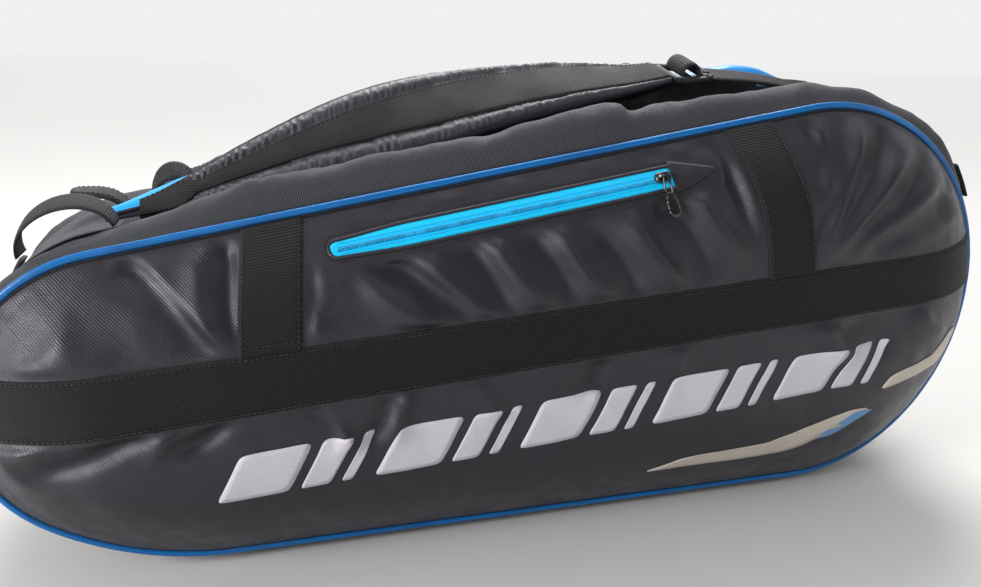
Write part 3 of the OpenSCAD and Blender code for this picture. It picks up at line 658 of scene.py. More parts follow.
# The same for a back cover, freer, since only its webbing holds it
BACK_FOLDS = [
    (-300, 214, -226, 168, 3.0, 11), (-270, 222, -214, 178, -2.6, 10), (-150, 238, -84, 176, 3.0, 12),
    (-122, 246, -58, 186, -2.8, 11), (-60, 258, 4, 190, 2.6, 13), (-24, 262, 44, 194, -2.6, 12),
    (40, 278, 108, 204, 2.8, 11), (84, 292, 130, 220, -2.4, 9), (244, 300, 196, 224, 3.0, 10),
    (270, 290, 206, 216, -2.8, 10), (314, 258, 228, 214, 2.4, 12), (-252, 126, -318, 92, -2.6, 10),
    (-160, 130, -126, 84, 2.4, 10), (-90, 134, -60, 78, -2.2, 12), (10, 142, 44, 80, 2.4, 12),
    (110, 150, 76, 88, -2.4, 12), (210, 160, 250, 104, 2.6, 12), (280, 160, 318, 118, -2.2, 11),
]
# What the front and back covers' folds are raised by
FOLD_GAIN = {-1: 3.0, 1: 1.5}


def fold_height(x, z, folds):
    """Soft ridges and valleys between given points, sharper on one flank."""
    total = np.zeros_like(x)
    for x0, z0, x1, z1, height, width in folds:
        dx, dz = x1 - x0, z1 - z0
        size = math.hypot(dx, dz)
        dx, dz = dx / size, dz / size
        along = ((x - x0) * dx + (z - z0) * dz) / size
        off = -(x - x0) * dz + (z - z0) * dx + 5 * np.sin(np.pi * along) * np.sign(height)
        end = smoothstep((along + 0.2) / 0.5) * smoothstep((1.2 - along) / 0.5)
        flank = np.where(off > 0, width * 0.85, width * 1.5)
        total += height * end / (1 + (off / flank) ** 2) ** 1.6
    return total


def segment_off(x, z, p, q):
    """Distance from a stretch of line."""
    d = q - p
    u = np.clip(((x - p[0]) * d[0] + (z - p[1]) * d[1]) / (d @ d), 0, 1)
    return np.hypot(x - p[0] - u * d[0], z - p[1] - u * d[1])


def band_z(x):
    return mix(BAND_HANDLE[1], BAND_HEAD[1], (x - BAND_HANDLE[0]) / (BAND_HEAD[0] - BAND_HANDLE[0]))


def zip_at(s, d):
    """A point along the pocket zip and down from the top line."""
    s, d = np.broadcast_arrays(np.asarray(s, float), np.asarray(d, float))
    return TOP_HEAD + s[..., None] * TOP_DIR - d[..., None] * TOP_N


def trim_hold(x, z, side):
    """1 under the webbing and the zip, falling to 0 a little way off."""
    def near(p, q, half, fade):
        return smoothstep(1 - (segment_off(x, z, p, q) - half) / fade)

    half = WEBBING_W / 2
    hold = smoothstep(1 - (np.abs(z - band_z(x)) - half) / TRIM_FADE)
    for x_top, x_low in CROSS.values():
        p, q = np.array([[x_low + half, band_z(x_low)], [x_top + half, top_z(x_top)]])
        hold = np.maximum(hold, near(p, q, half, TRIM_FADE))
    if side < 0:
        p, q = zip_at([ZIP_END_S - ZIP_L, ZIP_END_S + 30], ZIP_INSET)
        hold = np.maximum(hold, near(p, q, ZIP_HOLD, ZIP_FADE))
        puller_top = zip_at(ZIP_END_S - SLIDER_BACK - ZIP_TRAVEL, ZIP_INSET)
        off = segment_off(x, z, puller_top, puller_top - [0, PULLER_LANE])
        hold = np.maximum(hold, LANE_HOLD * np.exp(-(off / LANE_FADE) ** 2))
    return hold


def panel_columns(step):
    """Columns of a cover: x, and the top and bottom edge there."""
    loop, angles = trace(FULL_LOOP, 1.0, closed=True)
    loop = loop - EDGE_INSET * outward(angles)
    right, left = np.argmax(loop[:, 0]), np.argmin(loop[:, 0])
    upper = loop[right:left + 1]
    lower = np.concatenate([loop[left:], loop[:right + 1]])
    s = run_length(upper)
    n = round(s[-1] / step)
    x = np.interp(np.linspace(0, s[-1], n + 1), s, upper[:, 0])
    x = np.clip(x, loop[left, 0] + 0.4, loop[right, 0] - 0.02)
    top = np.interp(x, upper[::-1, 0], upper[::-1, 1])
    bottom = np.interp(x, lower[:, 0], lower[:, 1])
    return x, top, bottom


def cloth_noise(x, z, size, stretch, turn, seed):
    """Smooth noise, stretched along one direction."""
    c, s = outward(math.radians(turn))
    return noise_at((x * c + z * s) / (size * stretch), (z * c - x * s) / size, seed)


def cover_panel(name, side, folds):
    """A cover's outer cloth, with its folds, settled as cloth between the seams and the trim."""
    step = 3.4
    x, top, bottom = panel_columns(step)
    rows = np.linspace(0, 1, round(300 / step) + 1)
    gx = np.repeat(x[:, None], len(rows), 1)
    gz = bottom[:, None] + (top - bottom)[:, None] * rows
    inset = inset_at(gx, gz)
    hold = trim_hold(gx, gz, side)
    free = (1 - hold) * smoothstep((inset - EDGE_INSET) / 13)
    wave = (1.3 * cloth_noise(gx, gz, 26, 2.6, -52, 3 + side)
            + 0.55 * cloth_noise(gx, gz, 11, 2.2, -60, 7 + side))
    pucker = cloth_noise(gx, gz, 6.5, 1.0, 0, 11 + side) * np.exp(-((inset - 9) / 5) ** 2)
    lump = 1.1 * cloth_noise(gx, gz, 60, 1.0, 0, 19 + side) * smoothstep((inset - EDGE_INSET) / 20)
    fold = FOLD_GAIN[side] * fold_height(gx, gz, folds)
    height = rise(inset) + free * (fold + wave) + pucker * (1 - hold) + lump
    grid = xyz(gx, side * (PLANE_Y + height), gz)
    obj = sheet_grid(name, grid, M["panel"], xyz(gx, gz, inset), 2.0, (0, side, 0), M["lining"])
    settle(obj, ((hold > 0.55) | (inset < EDGE_INSET + 1.5)).ravel(), 6, gx.shape)
    return obj


class Surface:
    """Finds a cover's own surface, so that the trim lies on it."""

    def __init__(self, obj, side):
        self.side = side
        faces = [tuple(p.vertices) for p in obj.data.polygons]
        self.tree = BVHTree.FromPolygons(coords(obj).tolist(), faces)

    def y(self, x, z):
        start = Vector((float(x), self.side * 400.0, float(z)))
        hit = self.tree.ray_cast(start, Vector((0, -self.side, 0)))[0]
        if hit is None:
            return self.side * (PLANE_Y + float(rise(inset_at(np.array(x), np.array(z)))))
        return hit.y

    def heights(self, flat):
        return np.array([self.y(x, z) for x, z in flat.reshape(-1, 2)]).reshape(flat.shape[:-1])

    def drape(self, flat, lift):
        """Points (x, z) laid on the cover, lift above it."""
        return stood(flat, self.heights(flat) + self.side * np.asarray(lift))

    def normal(self, flat):
        e = 1.5
        dx, dz = ((self.heights(flat + d) - self.heights(flat - d)) / (2 * e)
                  for d in (np.array([e, 0]), np.array([0, e])))
        return unit(xyz(-dx, 1, -dz) * self.side)


def blur(grid, times):
    """Evens a grid out along its first direction."""
    for _ in range(times):
        grid[1:-1] = (grid[:-2] + 2 * grid[1:-1] + grid[2:]) / 4
    return grid


def cover_strip(name, surface, low, high, thickness, material, step=4.0, across=12):
    """A strip sewn flat on a cover between two edge lines in x, z."""
    length = run_length((low + high) / 2)
    at = np.linspace(0, length[-1], max(6, round(length[-1] / step)) + 1)
    a, b = (at_points(at, length, edge) for edge in (low, high))
    s = np.linspace(0, 1, across + 1)
    body = surface.drape(a[:, None] + (b - a)[:, None] * s[:, None], 0)
    side = surface.side
    smooth = blur(body.copy(), 3)
    body[..., 1] = side * np.maximum(side * smooth[..., 1], side * body[..., 1] - 0.25)
    rim = np.minimum(1, np.minimum(s, 1 - s) * across * 0.8 + 0.4)
    top = body + np.array([0, side, 0]) * (thickness * rim)[:, None]
    rings = np.concatenate([top, (body - [0, side * 0.5, 0])[:, ::-1]], 1)
    return loft(name, rings, material, grain=strip_grain(at, s, np.linalg.norm(b - a, axis=1)))


def band(name, surface):
    """The webbing band along the cover's length; its ends follow the piping's slant."""
    h = np.array([0, WEBBING_W / 2])
    x = np.linspace(BAND_HANDLE[0], BAND_HEAD[0], 60)
    mid = np.stack([x, band_z(x)], 1)
    slant = np.linspace([4, 0], [-7.7, 0], len(x))
    return cover_strip(name, surface, mid - h, mid + h + slant, WEBBING_T, M["band"])


def cross_edges(x_top, x_low):
    """Left and right edge of a webbing between the band and the piping, bowed a little."""
    u = np.linspace(0, 1, 14)[:, None]
    edges = []
    for w in (0, WEBBING_W):
        p = np.array([x_low + w, float(band_z(x_low + w)) + WEBBING_W / 2 - 1.0])
        q = np.array([x_top + w, float(top_z(x_top + w)) - EDGE_INSET])
        bow = np.sin(np.pi * u) * np.array([(x_low - x_top) * 0.12, 0])
        edges.append(mix(p, q, u) + bow)
    return edges


def ring_print(name, surface, ring, shares, lifts, material):
    """Cloth or ink on the front cover: a ring of x, z points and smaller ones inside it."""
    flat = np.stack([mix(ring, ring.mean(0), s) for s in shares])
    m, n = flat.shape[:2]
    faces = [f[::-1] for f in skin(m, n) + [tuple(range((m - 1) * n, m * n))]]
    points = surface.drape(flat, np.reshape(lifts, (-1, 1)))
    grain = xyz(flat[..., 0], flat[..., 1], 0)
    return make(name, points.reshape(-1, 3), faces, material, grain.reshape(-1, 3))


def rounded(corners, count, passes=7):
    """Evenly spaced points round a polygon, its corners eased."""
    ring = np.asarray(list(corners) + [corners[0]], float)
    s = run_length(ring)
    pts = at_points(np.arange(count) * s[-1] / count, s, ring)
    for _ in range(passes):
        pts = (np.roll(pts, 1, 0) + 2 * pts + np.roll(pts, -1, 0)) / 4
    return pts


SWEEPS = [[(70, 46), (196, 50), (262, 86), (238, 86), (184, 64), (104, 58)],
          [(262, 100), (330, 112), (352, 140), (334, 140), (314, 122), (270, 112)]]
DASH = [(212, 60), (230, 63), (262, 84), (244, 83)]


def generic_print(surface):
    """Groups of slanted silver blocks, and two pale sweeps with a blue dash under them."""
    blocks = []
    bar_l, gap, lean, bar_h = 84, 14, 16, 34
    step, up = np.array([1, 7 / bar_l]), np.array([lean, bar_h])
    for i in range(5):
        start = np.array([-227 + i * (bar_l + gap), 69 + i * 8.0])
        for x0, x1 in ((0, 44), (51, 70), (77, 84)):
            a, b = start + step * x0, start + step * x1
            blocks.append([a, b, b + up, a + up])
    for name, outlines, ink, nodes in (
            ("front_print_blocks", blocks, "silver", ["front_print"]),
            ("front_print_sweeps", SWEEPS, "beige", []),
            ("front_print_dash", [DASH], "slash", [])):
        shares = np.linspace(0, 1, 6) * 0.985
        obj = merged(name, [ring_print("ink", surface, rounded(corners, 96), shares, 0.28, M[ink])
                            for corners in outlines])
        thicken(obj, 0.2)
        place(obj, "front_cover", "print_silver", *nodes)


def build_cover(side_name, folds):
    side = SIDES[side_name]
    body = side_name + "_cover"
    panel = cover_panel(side_name + "_panel_cloth", side, folds)
    surface = Surface(panel, side)
    subdivide(panel, 1)
    place(panel, body, "panel_nylon", side_name + "_panel")
    place(band(side_name + "_band_webbing", surface), body, "webbing", side_name + "_band")
    for end, ends in CROSS.items():
        name = f"{side_name}_{end}_webbing"
        strip = cover_strip(name + "_strip", surface, *cross_edges(*ends), WEBBING_T, M["webbing"], 3.0)
        place(strip, body, "webbing", name)
    sew_trim(side_name, surface, body)
    piping(side_name, side, body)
    lower_gusset_edge(side_name, side, body)
    return surface


def sew_trim(side_name, surface, body):
    """Stitch lines along the band and the webbings."""
    x = np.linspace(BAND_HANDLE[0] + 3, BAND_HEAD[0] - 3, 180)
    lines = [np.stack([x, band_z(x) + sign * (WEBBING_W / 2 - 2.2)], 1) for sign in (-1, 1)]
    for x_top, x_low in CROSS.values():
        left, right = cross_edges(x_top, x_low)
        lines += [mix(left, right, share) for share in (0.06, 0.94)]
        low = [mix(left[1], right[1], share) for share in (0.08, 0.92)]
        lines.append(np.array([mix(*low, u) for u in np.linspace(0, 1, 12)]))
    threads = []
    for k, line in enumerate(lines):
        s = run_length(line)
        fine = at_points(np.linspace(0, s[-1], max(8, round(s[-1] / 3))), s, line)
        path = blur(surface.drape(fine, WEBBING_T + 0.12), 2)
        threads.append(thread(f"sewn_{k}", path, surface.normal(fine), M["thread"]))
    place(merged(side_name + "_trim_stitching", threads), body, "webbing")


def piping(side_name, side, body):
    """The blue piping's cord, and the flange that it is sewn in with."""
    section = [(-3.4, 3.4), (-2.2, 2.1), (-1.0, -0.5), (-1.5, -2.5), (-2.7, -2.2), (-4.2, 1.3)]
    section = [(side * (PLANE_Y + y), d) for d, y in section]
    rings, path, _ = run_rings(FULL_LOOP, 4.0, section, closed=True)
    cord = tube(side_name + "_piping_cord", stood(path, side * PLANE_Y), 2.6, M["piping"], 14,
                loop=True, wobble=0.035)
    place(cord, body, "piping_blue", side_name + "_piping")
    flange = loft(side_name + "_piping_flange", rings, M["binding"], loop=True)
    place(flange, body, "panel_nylon")


GUSSET_T = 2.5
TEETH_Y = 60
ZIP_TAPE_W = 6


def run_rings(corners, step, section, closed=False):
    """Sections of (y, height over the outline) carried along a run, with the run and its outward side."""
    path, angles = trace(corners, step, closed)
    n = outward(angles)
    y, h = np.array(section, float).T
    return stood(path[:, None] + n[:, None] * h[:, None], y), path, n


def push(rings, n, height):
    """Moves the first lines of carried sections off the outline, one column of heights for each."""
    rings[:, :height.shape[1], ::2] += n[:, None] * height[..., None]


def lower_gusset_edge(side_name, side, body):
    """The cover's own strip of gusset between the piping and the zip, gathered a little."""
    y = side * np.linspace(PLANE_Y - EDGE_INSET, TEETH_Y + ZIP_TAPE_W + 0.2, 9)
    section = [(v, 0) for v in y] + [(v, -GUSSET_T) for v in y[::-1]]
    rings, path, n = run_rings(LOWER_RUN, 4.0, section)
    gather = noise_at(run_length(path) / 9.0, side * 3.0, 0)
    push(rings, n, np.outer(1.1 + 0.8 * gather, np.sin(np.pi * np.linspace(0, 1, 9))) - 0.2)
    obj = loft(side_name + "_outer_gusset_strip", rings, M["twill"])
    place(obj, body, "gusset_twill", side_name + "_outer_gusset")


def zip_side(name, side, toward, body, node):
    """One tape of a main zip with its row of teeth; toward is where the other tape lies."""
    wide = ZIP_TAPE_W if side * toward < 0 else 0.2 - ZIP_TAPE_W
    ys = np.linspace(side * (TEETH_Y + wide), side * TEETH_Y - toward * 0.3, 5)
    rings, path, n = run_rings(LOWER_RUN, 5.0, [(y, 0.9) for y in ys] + [(y, -0.9) for y in ys[::-1]])
    tape = loft(name + "_cloth", rings, M["tape_black"])
    s = run_length(path)
    pitch, half = 2.6, 0.55
    at = np.arange(pitch, s[-1] - pitch, pitch) + (pitch / 2 if toward > 0 else 0)
    p, up = at_points(at, s, path), at_points(at, s, n)
    along = np.stack([-up[:, 1], up[:, 0]], 1)
    y, h, d = np.array([(side * TEETH_Y - toward * back, h * w, d * w)
                        for back, w in ((3.0, 0.8), (0.9, 1.0), (0.15, 0.7))
                        for h, d in ((0.3, half), (1.5, half * 0.8), (1.5, -half * 0.8), (0.3, -half))]).T
    points = stood(p[:, None] + up[:, None] * h[:, None] + along[:, None] * d[:, None], y).reshape(-1, 3)
    faces = [f for k in range(len(at)) for f in capped(3, 4, 12 * k)]
    teeth = face_outward(make(name + "_teeth", points, faces, M["coil_black"]))
    place(merged(name, [tape, teeth]), body, "zip_tape_black", node)


def main_zips():
    for side_name, side in SIDES.items():
        for strip, toward, body, node in (("cover", -side, side_name + "_cover", "outer"),
                                          ("gusset", side, "root", "inner")):
            zip_side(f"{side_name}_{strip}_zip_tape", side, toward, body, f"{side_name}_{node}_zip_tape")


# ---- pocket on the front cover ----

def tape_half(along):
    """Half the width of tape left in view, less where the zip starts."""
    return TAPE_W / 2 * mix(0.66, 1.0, smoothstep(along / 55))


def pocket(surface):
    body = "front_cover"
    s = np.linspace(ZIP_END_S - ZIP_L, ZIP_END_S + 2, 90)
    turn = np.clip((s - s[0]) / (TAPE_W / 2), 0, 1)
    half = tape_half(s - s[0]) * np.sqrt(np.maximum(0.02, turn * (2 - turn)))
    tape = cover_strip("pocket_zip_cloth", surface, zip_at(s, ZIP_INSET + half), zip_at(s, ZIP_INSET - half),
                       1.0, M["tape_cyan"], 2.6, 8)
    place(tape, body, "zip_tape_cyan", "pocket_zip_tape")
    zip_coil(surface, body)
    zip_welt(surface, body)
    garage(surface, body)
    lining(body)
    slider()


def zip_coil(surface, body):
    """The coil's two interlocked rows, as one flattened spiral, and a stitch line on each side."""
    pitch = 1.5
    turns = int((ZIP_L - 12) / pitch)
    t = np.linspace(0, turns, turns * 8 + 1)
    flat = zip_at(ZIP_END_S - ZIP_L + 6 + t * pitch, ZIP_INSET + 1.15 * np.sin(2 * np.pi * t))
    path = surface.drape(flat, 1.45 + 0.5 * np.cos(2 * np.pi * t))
    place(tube("pocket_zip_coil", path, 0.42, M["coil_cyan"], 6), body, "zip_tape_cyan")
    s = np.linspace(ZIP_END_S - ZIP_L + 7, ZIP_END_S - 12, 90)
    lines = []
    for off in (-2.9, 2.9):
        flat = zip_at(s, ZIP_INSET + off)
        lines.append(thread("zip_stitch", surface.drape(flat, 1.05), surface.normal(flat),
                            M["coil_cyan"], 2.4, 1.9, 0.28))
    place(merged("pocket_zip_tape_stitching", lines), body, "zip_tape_cyan")


def stadium(extra, n=70):
    """A line round the pocket's opening, extra outside the tape: open at the garage end."""
    first = ZIP_END_S - ZIP_L
    s = np.linspace(ZIP_END_S + 6, first + TAPE_W / 2, n)
    r = tape_half(s - first) + extra
    a = np.radians(np.linspace(-90, -270, 19))[1:-1]
    turn = np.stack([s[-1] + r[-1] * np.cos(a), ZIP_INSET - r[-1] * np.sin(a)], 1)
    low, high = (np.stack([s, ZIP_INSET + sign * r], 1) for sign in (1, -1))
    pts = np.concatenate([low, turn, high[::-1]])
    return zip_at(pts[:, 0], pts[:, 1])


def zip_welt(surface, body):
    """The folded edge of the cloth round the zip, and its row of stitches."""
    flat = stadium(0.9)
    path = surface.drape(flat, 0.55)
    welt = tube("pocket_zip_welt", path, 1.25, M["panel"], 10, up=surface.normal(flat), flat=0.75)
    place(welt, body, "panel_nylon")
    outer = stadium(3.6)
    place(thread("pocket_zip_welt_stitching", surface.drape(outer, 0.05), surface.normal(outer), M["thread"],
                 3.0, 2.1, 0.3), body, "panel_nylon")


def garage(surface, body):
    """The stitched triangle that the slider parks under."""
    s0, length = ZIP_END_S + 2, 34
    outer = rounded([zip_at(s0 + along, ZIP_INSET + off)
                     for along, off in ((0, -10.5), (length, -1), (length, 1), (0, 10.5))], 72, 4)
    patch = ring_print("pocket_zip_garage_patch", surface, outer, [0, 0.06, 0.16, 0.4, 0.7, 0.97],
                       [0.0, 0.9, 1.35, 1.7, 1.9, 1.95], M["panel"])
    thicken(patch, 0.6)
    place(patch, body, "panel_nylon", "pocket_zip_garage")
    seam = mix(outer, outer.mean(0), 0.2)
    seam = np.concatenate([seam, seam[:1]])
    place(thread("pocket_garage_stitching", surface.drape(seam, 1.45), surface.normal(seam), M["thread"],
                 2.6, 1.8, 0.28), body, "panel_nylon")


def lining(body):
    """The pocket's bag inside the cover."""
    s = np.linspace(ZIP_END_S - ZIP_L - 8, ZIP_END_S + 12, 60)
    d = np.linspace(ZIP_INSET + 2, ZIP_INSET + 100, 28)
    gs, gd = np.meshgrid(s, d, indexing="ij")
    flat = zip_at(gs, gd)
    u, v = (gs - s[0]) / (s[-1] - s[0]), (gd - d[0]) / (d[-1] - d[0])
    corner = smoothstep(np.minimum(u, 1 - u) / 0.05) * smoothstep((1.02 - v) / 0.12)
    slack = cloth_noise(flat[..., 0], flat[..., 1], 22, 2.0, 80, 31) * 1.2 * corner
    grid = stood(flat, -PLANE_Y - 11.4 + slack)
    obj = sheet_grid("pocket_lining_cloth", grid, M["lining"], xyz(gs, gd, 0), 0.7, (0, 1, 0))
    place(obj, body, "lining", "pocket_lining")


def zip_frame():
    """The CAD's frame at the slider: along the zip, up the slope, out of the cover."""
    near, far = 18, 30
    p = zip_at(ZIP_END_S - SLIDER_BACK, ZIP_INSET)
    level = np.interp(ZIP_INSET, (near, far), (rise(near), rise(far)))
    tilt = math.atan2(rise(far) - rise(near), far - near)
    turn = Matrix.Rotation(-SLOPE, 3, "Y") @ Matrix.Rotation(math.radians(90) - tilt, 3, "X")
    return np.array([p[0], -PLANE_Y - level, p[1]]), np.array(turn)


def in_frame(points, origin, turn):
    return origin + np.asarray(points, float) @ turn.T


def slider():
    """The pocket's slider with its bridge, and the puller: a wire loop and a ridged tab."""
    origin, turn = zip_frame()
    ux, uy, uz = turn.T
    rows = [(-5.6, 2.6), (-4.4, 3.7), (-1.5, 3.9), (1.5, 3.3), (4.0, 3.9), (5.3, 3.0)]
    plate = [(origin + ux * x + uz * 2.9, w, 1.55, uy, uz) for x, w in rows]
    arch = [(-4.4, 4.0), (-4.2, 6.2), (-2.6, 7.7), (0.0, 8.2), (2.2, 7.6), (3.4, 6.0), (3.6, 4.0)]
    bridge = []
    for k, (x, z) in enumerate(arch):
        fx, fz = unit(np.subtract(arch[min(len(arch) - 1, k + 1)], arch[max(0, k - 1)]))
        bridge.append((origin + ux * x + uz * z, 1.6, 0.8, uy, fx * uz - fz * ux))
    body = bars("pocket_slider_body", [plate, bridge], M["slider"])
    place(body, "pocket_slider", "slider_black", "pocket_slider")
    puller(origin, turn)


# The puller's tab from its narrow end down: distance, half width, half thickness
PULLER_ROWS = [(12.5, 1.2, 0.9), (13.6, 2.6, 1.15), (16, 3.4, 1.2), (18, 3.8, 1.2), (18.6, 3.9, 1.55),
               (19.8, 4.0, 1.55), (20.4, 4.05, 1.15), (22, 4.1, 1.15), (22.6, 4.15, 1.55),
               (23.8, 4.15, 1.55), (24.4, 4.15, 1.15), (26, 4.0, 1.15), (26.6, 3.9, 1.5),
               (27.8, 3.5, 1.5), (28.4, 3.2, 1.1), (29.8, 2.0, 0.9), (30.4, 0.8, 0.5)]


def puller(origin, turn):
    pin_z, lean, length = 6.9, math.radians(13), 30.5
    ux, uy, uz = turn.T
    down = -uy * math.cos(lean) - uz * math.sin(lean)
    out = uz * math.cos(lean) - uy * math.sin(lean)
    pin = origin + uz * pin_z
    a = np.linspace(0, 2 * np.pi, 41)[:-1]
    half = 2.9 - 0.9 * np.cos(a)
    loop = pin + np.outer(np.sin(a) * half * 0.8, ux) + np.outer(7.2 - 8.4 * np.cos(a), down)
    wire = tube("wire", loop, 0.72, M["slider"], 8, loop=True, up=out)
    rows = [(pin + down * (t * length / PULLER_ROWS[-1][0]), w * 1.08, h, ux, out) for t, w, h in PULLER_ROWS]
    obj = merged("pocket_puller_tab", [wire, bars("tab", [rows], M["slider"])])
    place(obj, "pocket_puller", "slider_black", "pocket_puller")


# ---- root: gussets, rolls, spine ----

GUSSET_HALF = [(54, -1), (54, 1.5), (52.6, 4.2), (50, 6.5), (47.8, 8.4), (45, 9.6), (41, 10)]


def lower_gussets():
    """The centre strip between the two zips, sewn from three pieces."""
    outer = GUSSET_HALF + [(y, 10) for y in (28, 14, 0, -14, -28)] + [(-y, h) for y, h in GUSSET_HALF[::-1]]
    inner = [(y * 0.955, h - 2.4 if h > 3 else h) for y, h in outer[::-1]]
    runs = {"handle": LOWER_RUN[:2],
            "base": [(HANDLE_LOW_C, HANDLE_LOW_R, 269.9, 270), (HEAD_LOW_C, HEAD_LOW_R, 270, 270.1)],
            "head": LOWER_RUN[2:]}
    y = np.array(outer)[:, 0]
    for end, corners in runs.items():
        rings, path, n = run_rings(corners, 5.0, outer + inner)
        sag = noise_at(run_length(path) / 30.0, 5.0, 0) * (end != "base")
        push(rings, n, np.outer(-np.abs(sag), 1 - (y / 54) ** 2) * 1.5)
        place(loft(end + "_gusset_cloth", rings, M["twill"]), "root", "gusset_twill", end + "_gusset")


SEAM_Y = 46
ROLL_H = 24
ROLL_SECTION = soft_table([(0, -0.05), (0.06, 0.36), (0.12, 0.66), (0.2, 0.88), (0.28, 0.98), (0.37, 1),
                           (0.5, 0.9), (0.66, 0.62), (0.82, 0.34), (1, 0.2)])


HEAD_SHARE = soft_table([(24, 0.6), (46, 0.92), (70, 0.55), (TOP_A, 0.7)])
FRONT_SHARE = table([(0, 0.7), (0.2, 0.92), (0.4, 1), (0.8, 0.96), (0.9, 0.58), (1, 0.3)])
BACK_SHARE = table([(0, 0.7), (0.2, 0.85), (0.4, 0.78), (0.7, 0.47), (0.9, 0.4), (1, 0.3)])


def roll_share(deg, past, side):
    """Share of the roll's full height, lower at the handle end and where a strap lies on it."""
    line = (FRONT_SHARE if side < 0 else BACK_SHARE)(np.clip(past, 0, 1))
    handle = 0.3 - 0.04 * (deg - TOP_A) / (ZIP_HANDLE_A - TOP_A)
    return np.where(deg < TOP_A - 1e-6, HEAD_SHARE(deg), np.where(deg > TOP_A + 1e-6, handle, line))


def top_roll(side_name, side):
    """The padded twill roll between the piping and the spine, with a pleat where it is folded over."""
    path, angles = trace(UPPER_RUN, 3.2)
    n = outward(angles)
    top = TOP_HANDLE - TOP_HEAD
    share = roll_share(np.degrees(angles), (path - TOP_HEAD) @ top / (top @ top), side)
    q = np.linspace(0, 1, 27)
    y = mix(PLANE_Y - EDGE_INSET, SEAM_Y, q)
    plain = ROLL_SECTION(q) * ROLL_H * share[:, None]
    s, x = run_length(path)[:, None], path[:, :1]
    window = np.sin(np.pi * q) ** 0.8
    crumple = 3.0 * cloth_noise(s, y, 17, 2.2, 24, 41 + side) + cloth_noise(s, y, 8, 1.5, 75, 45 + side)
    edge = np.exp(-q / 0.1) + np.exp(-(1 - q) / 0.1)
    gather = 0.8 * cloth_noise(s, y, 5.5, 1.0, 0, 49 + side) * edge * np.minimum(1, q * 8)
    fold_x = 70 + 26 * (q - 0.4)
    pleat = 5.5 * smoothstep((x + 46) / 90) * smoothstep((fold_x - x) / 5) * window
    dip = -1.8 * np.exp(-((x - fold_x - 7) / 8) ** 2) * window
    height = plain + (crumple - 0.9) * window + gather + (pleat + dip if side < 0 else 0)
    outer, inner = (stood(path[:, None] + n[:, None] * h[..., None], side * y)
                    for h in (height, np.minimum(height - 2.2, plain - 2.6)))
    rings = np.concatenate([outer, inner[:, ::3][:, ::-1]], 1)
    grain = xyz(s, np.concatenate([q, q[::3][::-1]]) * 62, 0)
    obj = loft(side_name + "_top_roll_cloth", rings, M["twill"], grain=grain)
    subdivide(obj)
    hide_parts(side_name + "_top_roll")
    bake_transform(obj)


def spine():
    """The strip along the top between the rolls, its seams bound, and the padded vinyl lens on it."""
    y = np.linspace(-SEAM_Y - 1.2, SEAM_Y + 1.2, 19)
    h = 3.4 - 0.6 * np.cos(2 * np.pi * y / (SEAM_Y * 2))
    rings, path, n = run_rings(UPPER_RUN, 4.0, list(zip(y, h)) + [(v, 0.5) for v in y[::-1]])
    push(rings, n, 0.6 * noise_at(run_length(path)[:, None] / 22.0, y / 14.0, 60))
    place(loft("spine_cloth", rings, M["twill"]), "root", "gusset_twill", "spine_panel")
    inset()


LENS_X = (-292, 262)
# Share of the half width that the vinyl top covers
LENS_TOP = soft_table([(0, 0.9), (0.14, 0.88), (0.24, 0.66), (0.6, 0.5), (0.83, 0.5), (0.88, 0.86),
                       (1, 0.92)])
LENS_W = soft_table([(0, 5), (0.05, 13), (0.1, 18), (0.25, 26), (0.5, 28), (0.7, 26), (0.8, 21), (0.86, 18),
                     (0.9, 15), (0.95, 10), (1, 3)])
LENS_H = soft_table([(0, 1), (0.05, 12), (0.1, 21), (0.25, 21), (0.5, 20), (0.7, 20), (0.8, 26), (0.86, 28.5),
                     (0.9, 25), (0.95, 16), (1, 2)])


def inset():
    """The padded lens: vinyl on top, twill walls."""
    x = mix(*LENS_X, np.linspace(0, 1, 150))
    u = np.linspace(0, 1, 150)
    w = LENS_W(u)
    base = top_z(x) + 3.0
    v = np.linspace(-1, 1, 23)
    dome = np.clip(1 - np.abs(v) ** 2.6, 0, 1) ** 0.75
    wrinkle = noise_at(x[:, None] / 20.0, v * 1.6, 70)
    z = base[:, None] + 1.0 + LENS_H(u)[:, None] * dome + wrinkle * 0.5 * dome
    top = xyz(x[:, None], w[:, None] * v, z)
    under = xyz(x[:, None], w[:, None] * v[::-1], base[:, None])
    obj = loft("spine_inset_pad", np.concatenate([top, under[:, 1:-1]], 1), M["twill"])
    obj.data.materials.append(M["inset"])
    across = np.abs(coords(obj)[:, 1]) / np.interp(coords(obj)[:, 0], x, w)
    for face in obj.data.polygons:
        u_face = (face.center.x / MM - LENS_X[0]) / (LENS_X[1] - LENS_X[0])
        if across[list(face.vertices)].max() < LENS_TOP(u_face) + 0.05 and face.normal.z > 0:
            face.material_index = 1
    place(obj, "root", "inset_blue", "spine_inset")
    lens_binding(x, u, w, base)


def lens_binding(x, u, w, base):
    """The dark cord where the lens's vinyl top meets its walls, and the seams at its foot."""
    edge_z = base + 1.3 + LENS_H(u) * (1 - LENS_TOP(u) ** 2.6) ** 0.75
    lines = [tube("bind", xyz(x, sign * y, z), r, M["binding"], 10, up=(0, 0, 1), flat=0.8)
             for sign in (-1, 1) for y, z, r in ((w * LENS_TOP(u), edge_z, 1.7), (w + 1.4, base + 1.0, 1.5))]
    place(merged("spine_inset_binding", lines), "root", "inset_blue")


# ---- straps ----

STRAP_X0, STRAP_X1, STRAP_W, STRAP_T = -266, 117, 74, 11
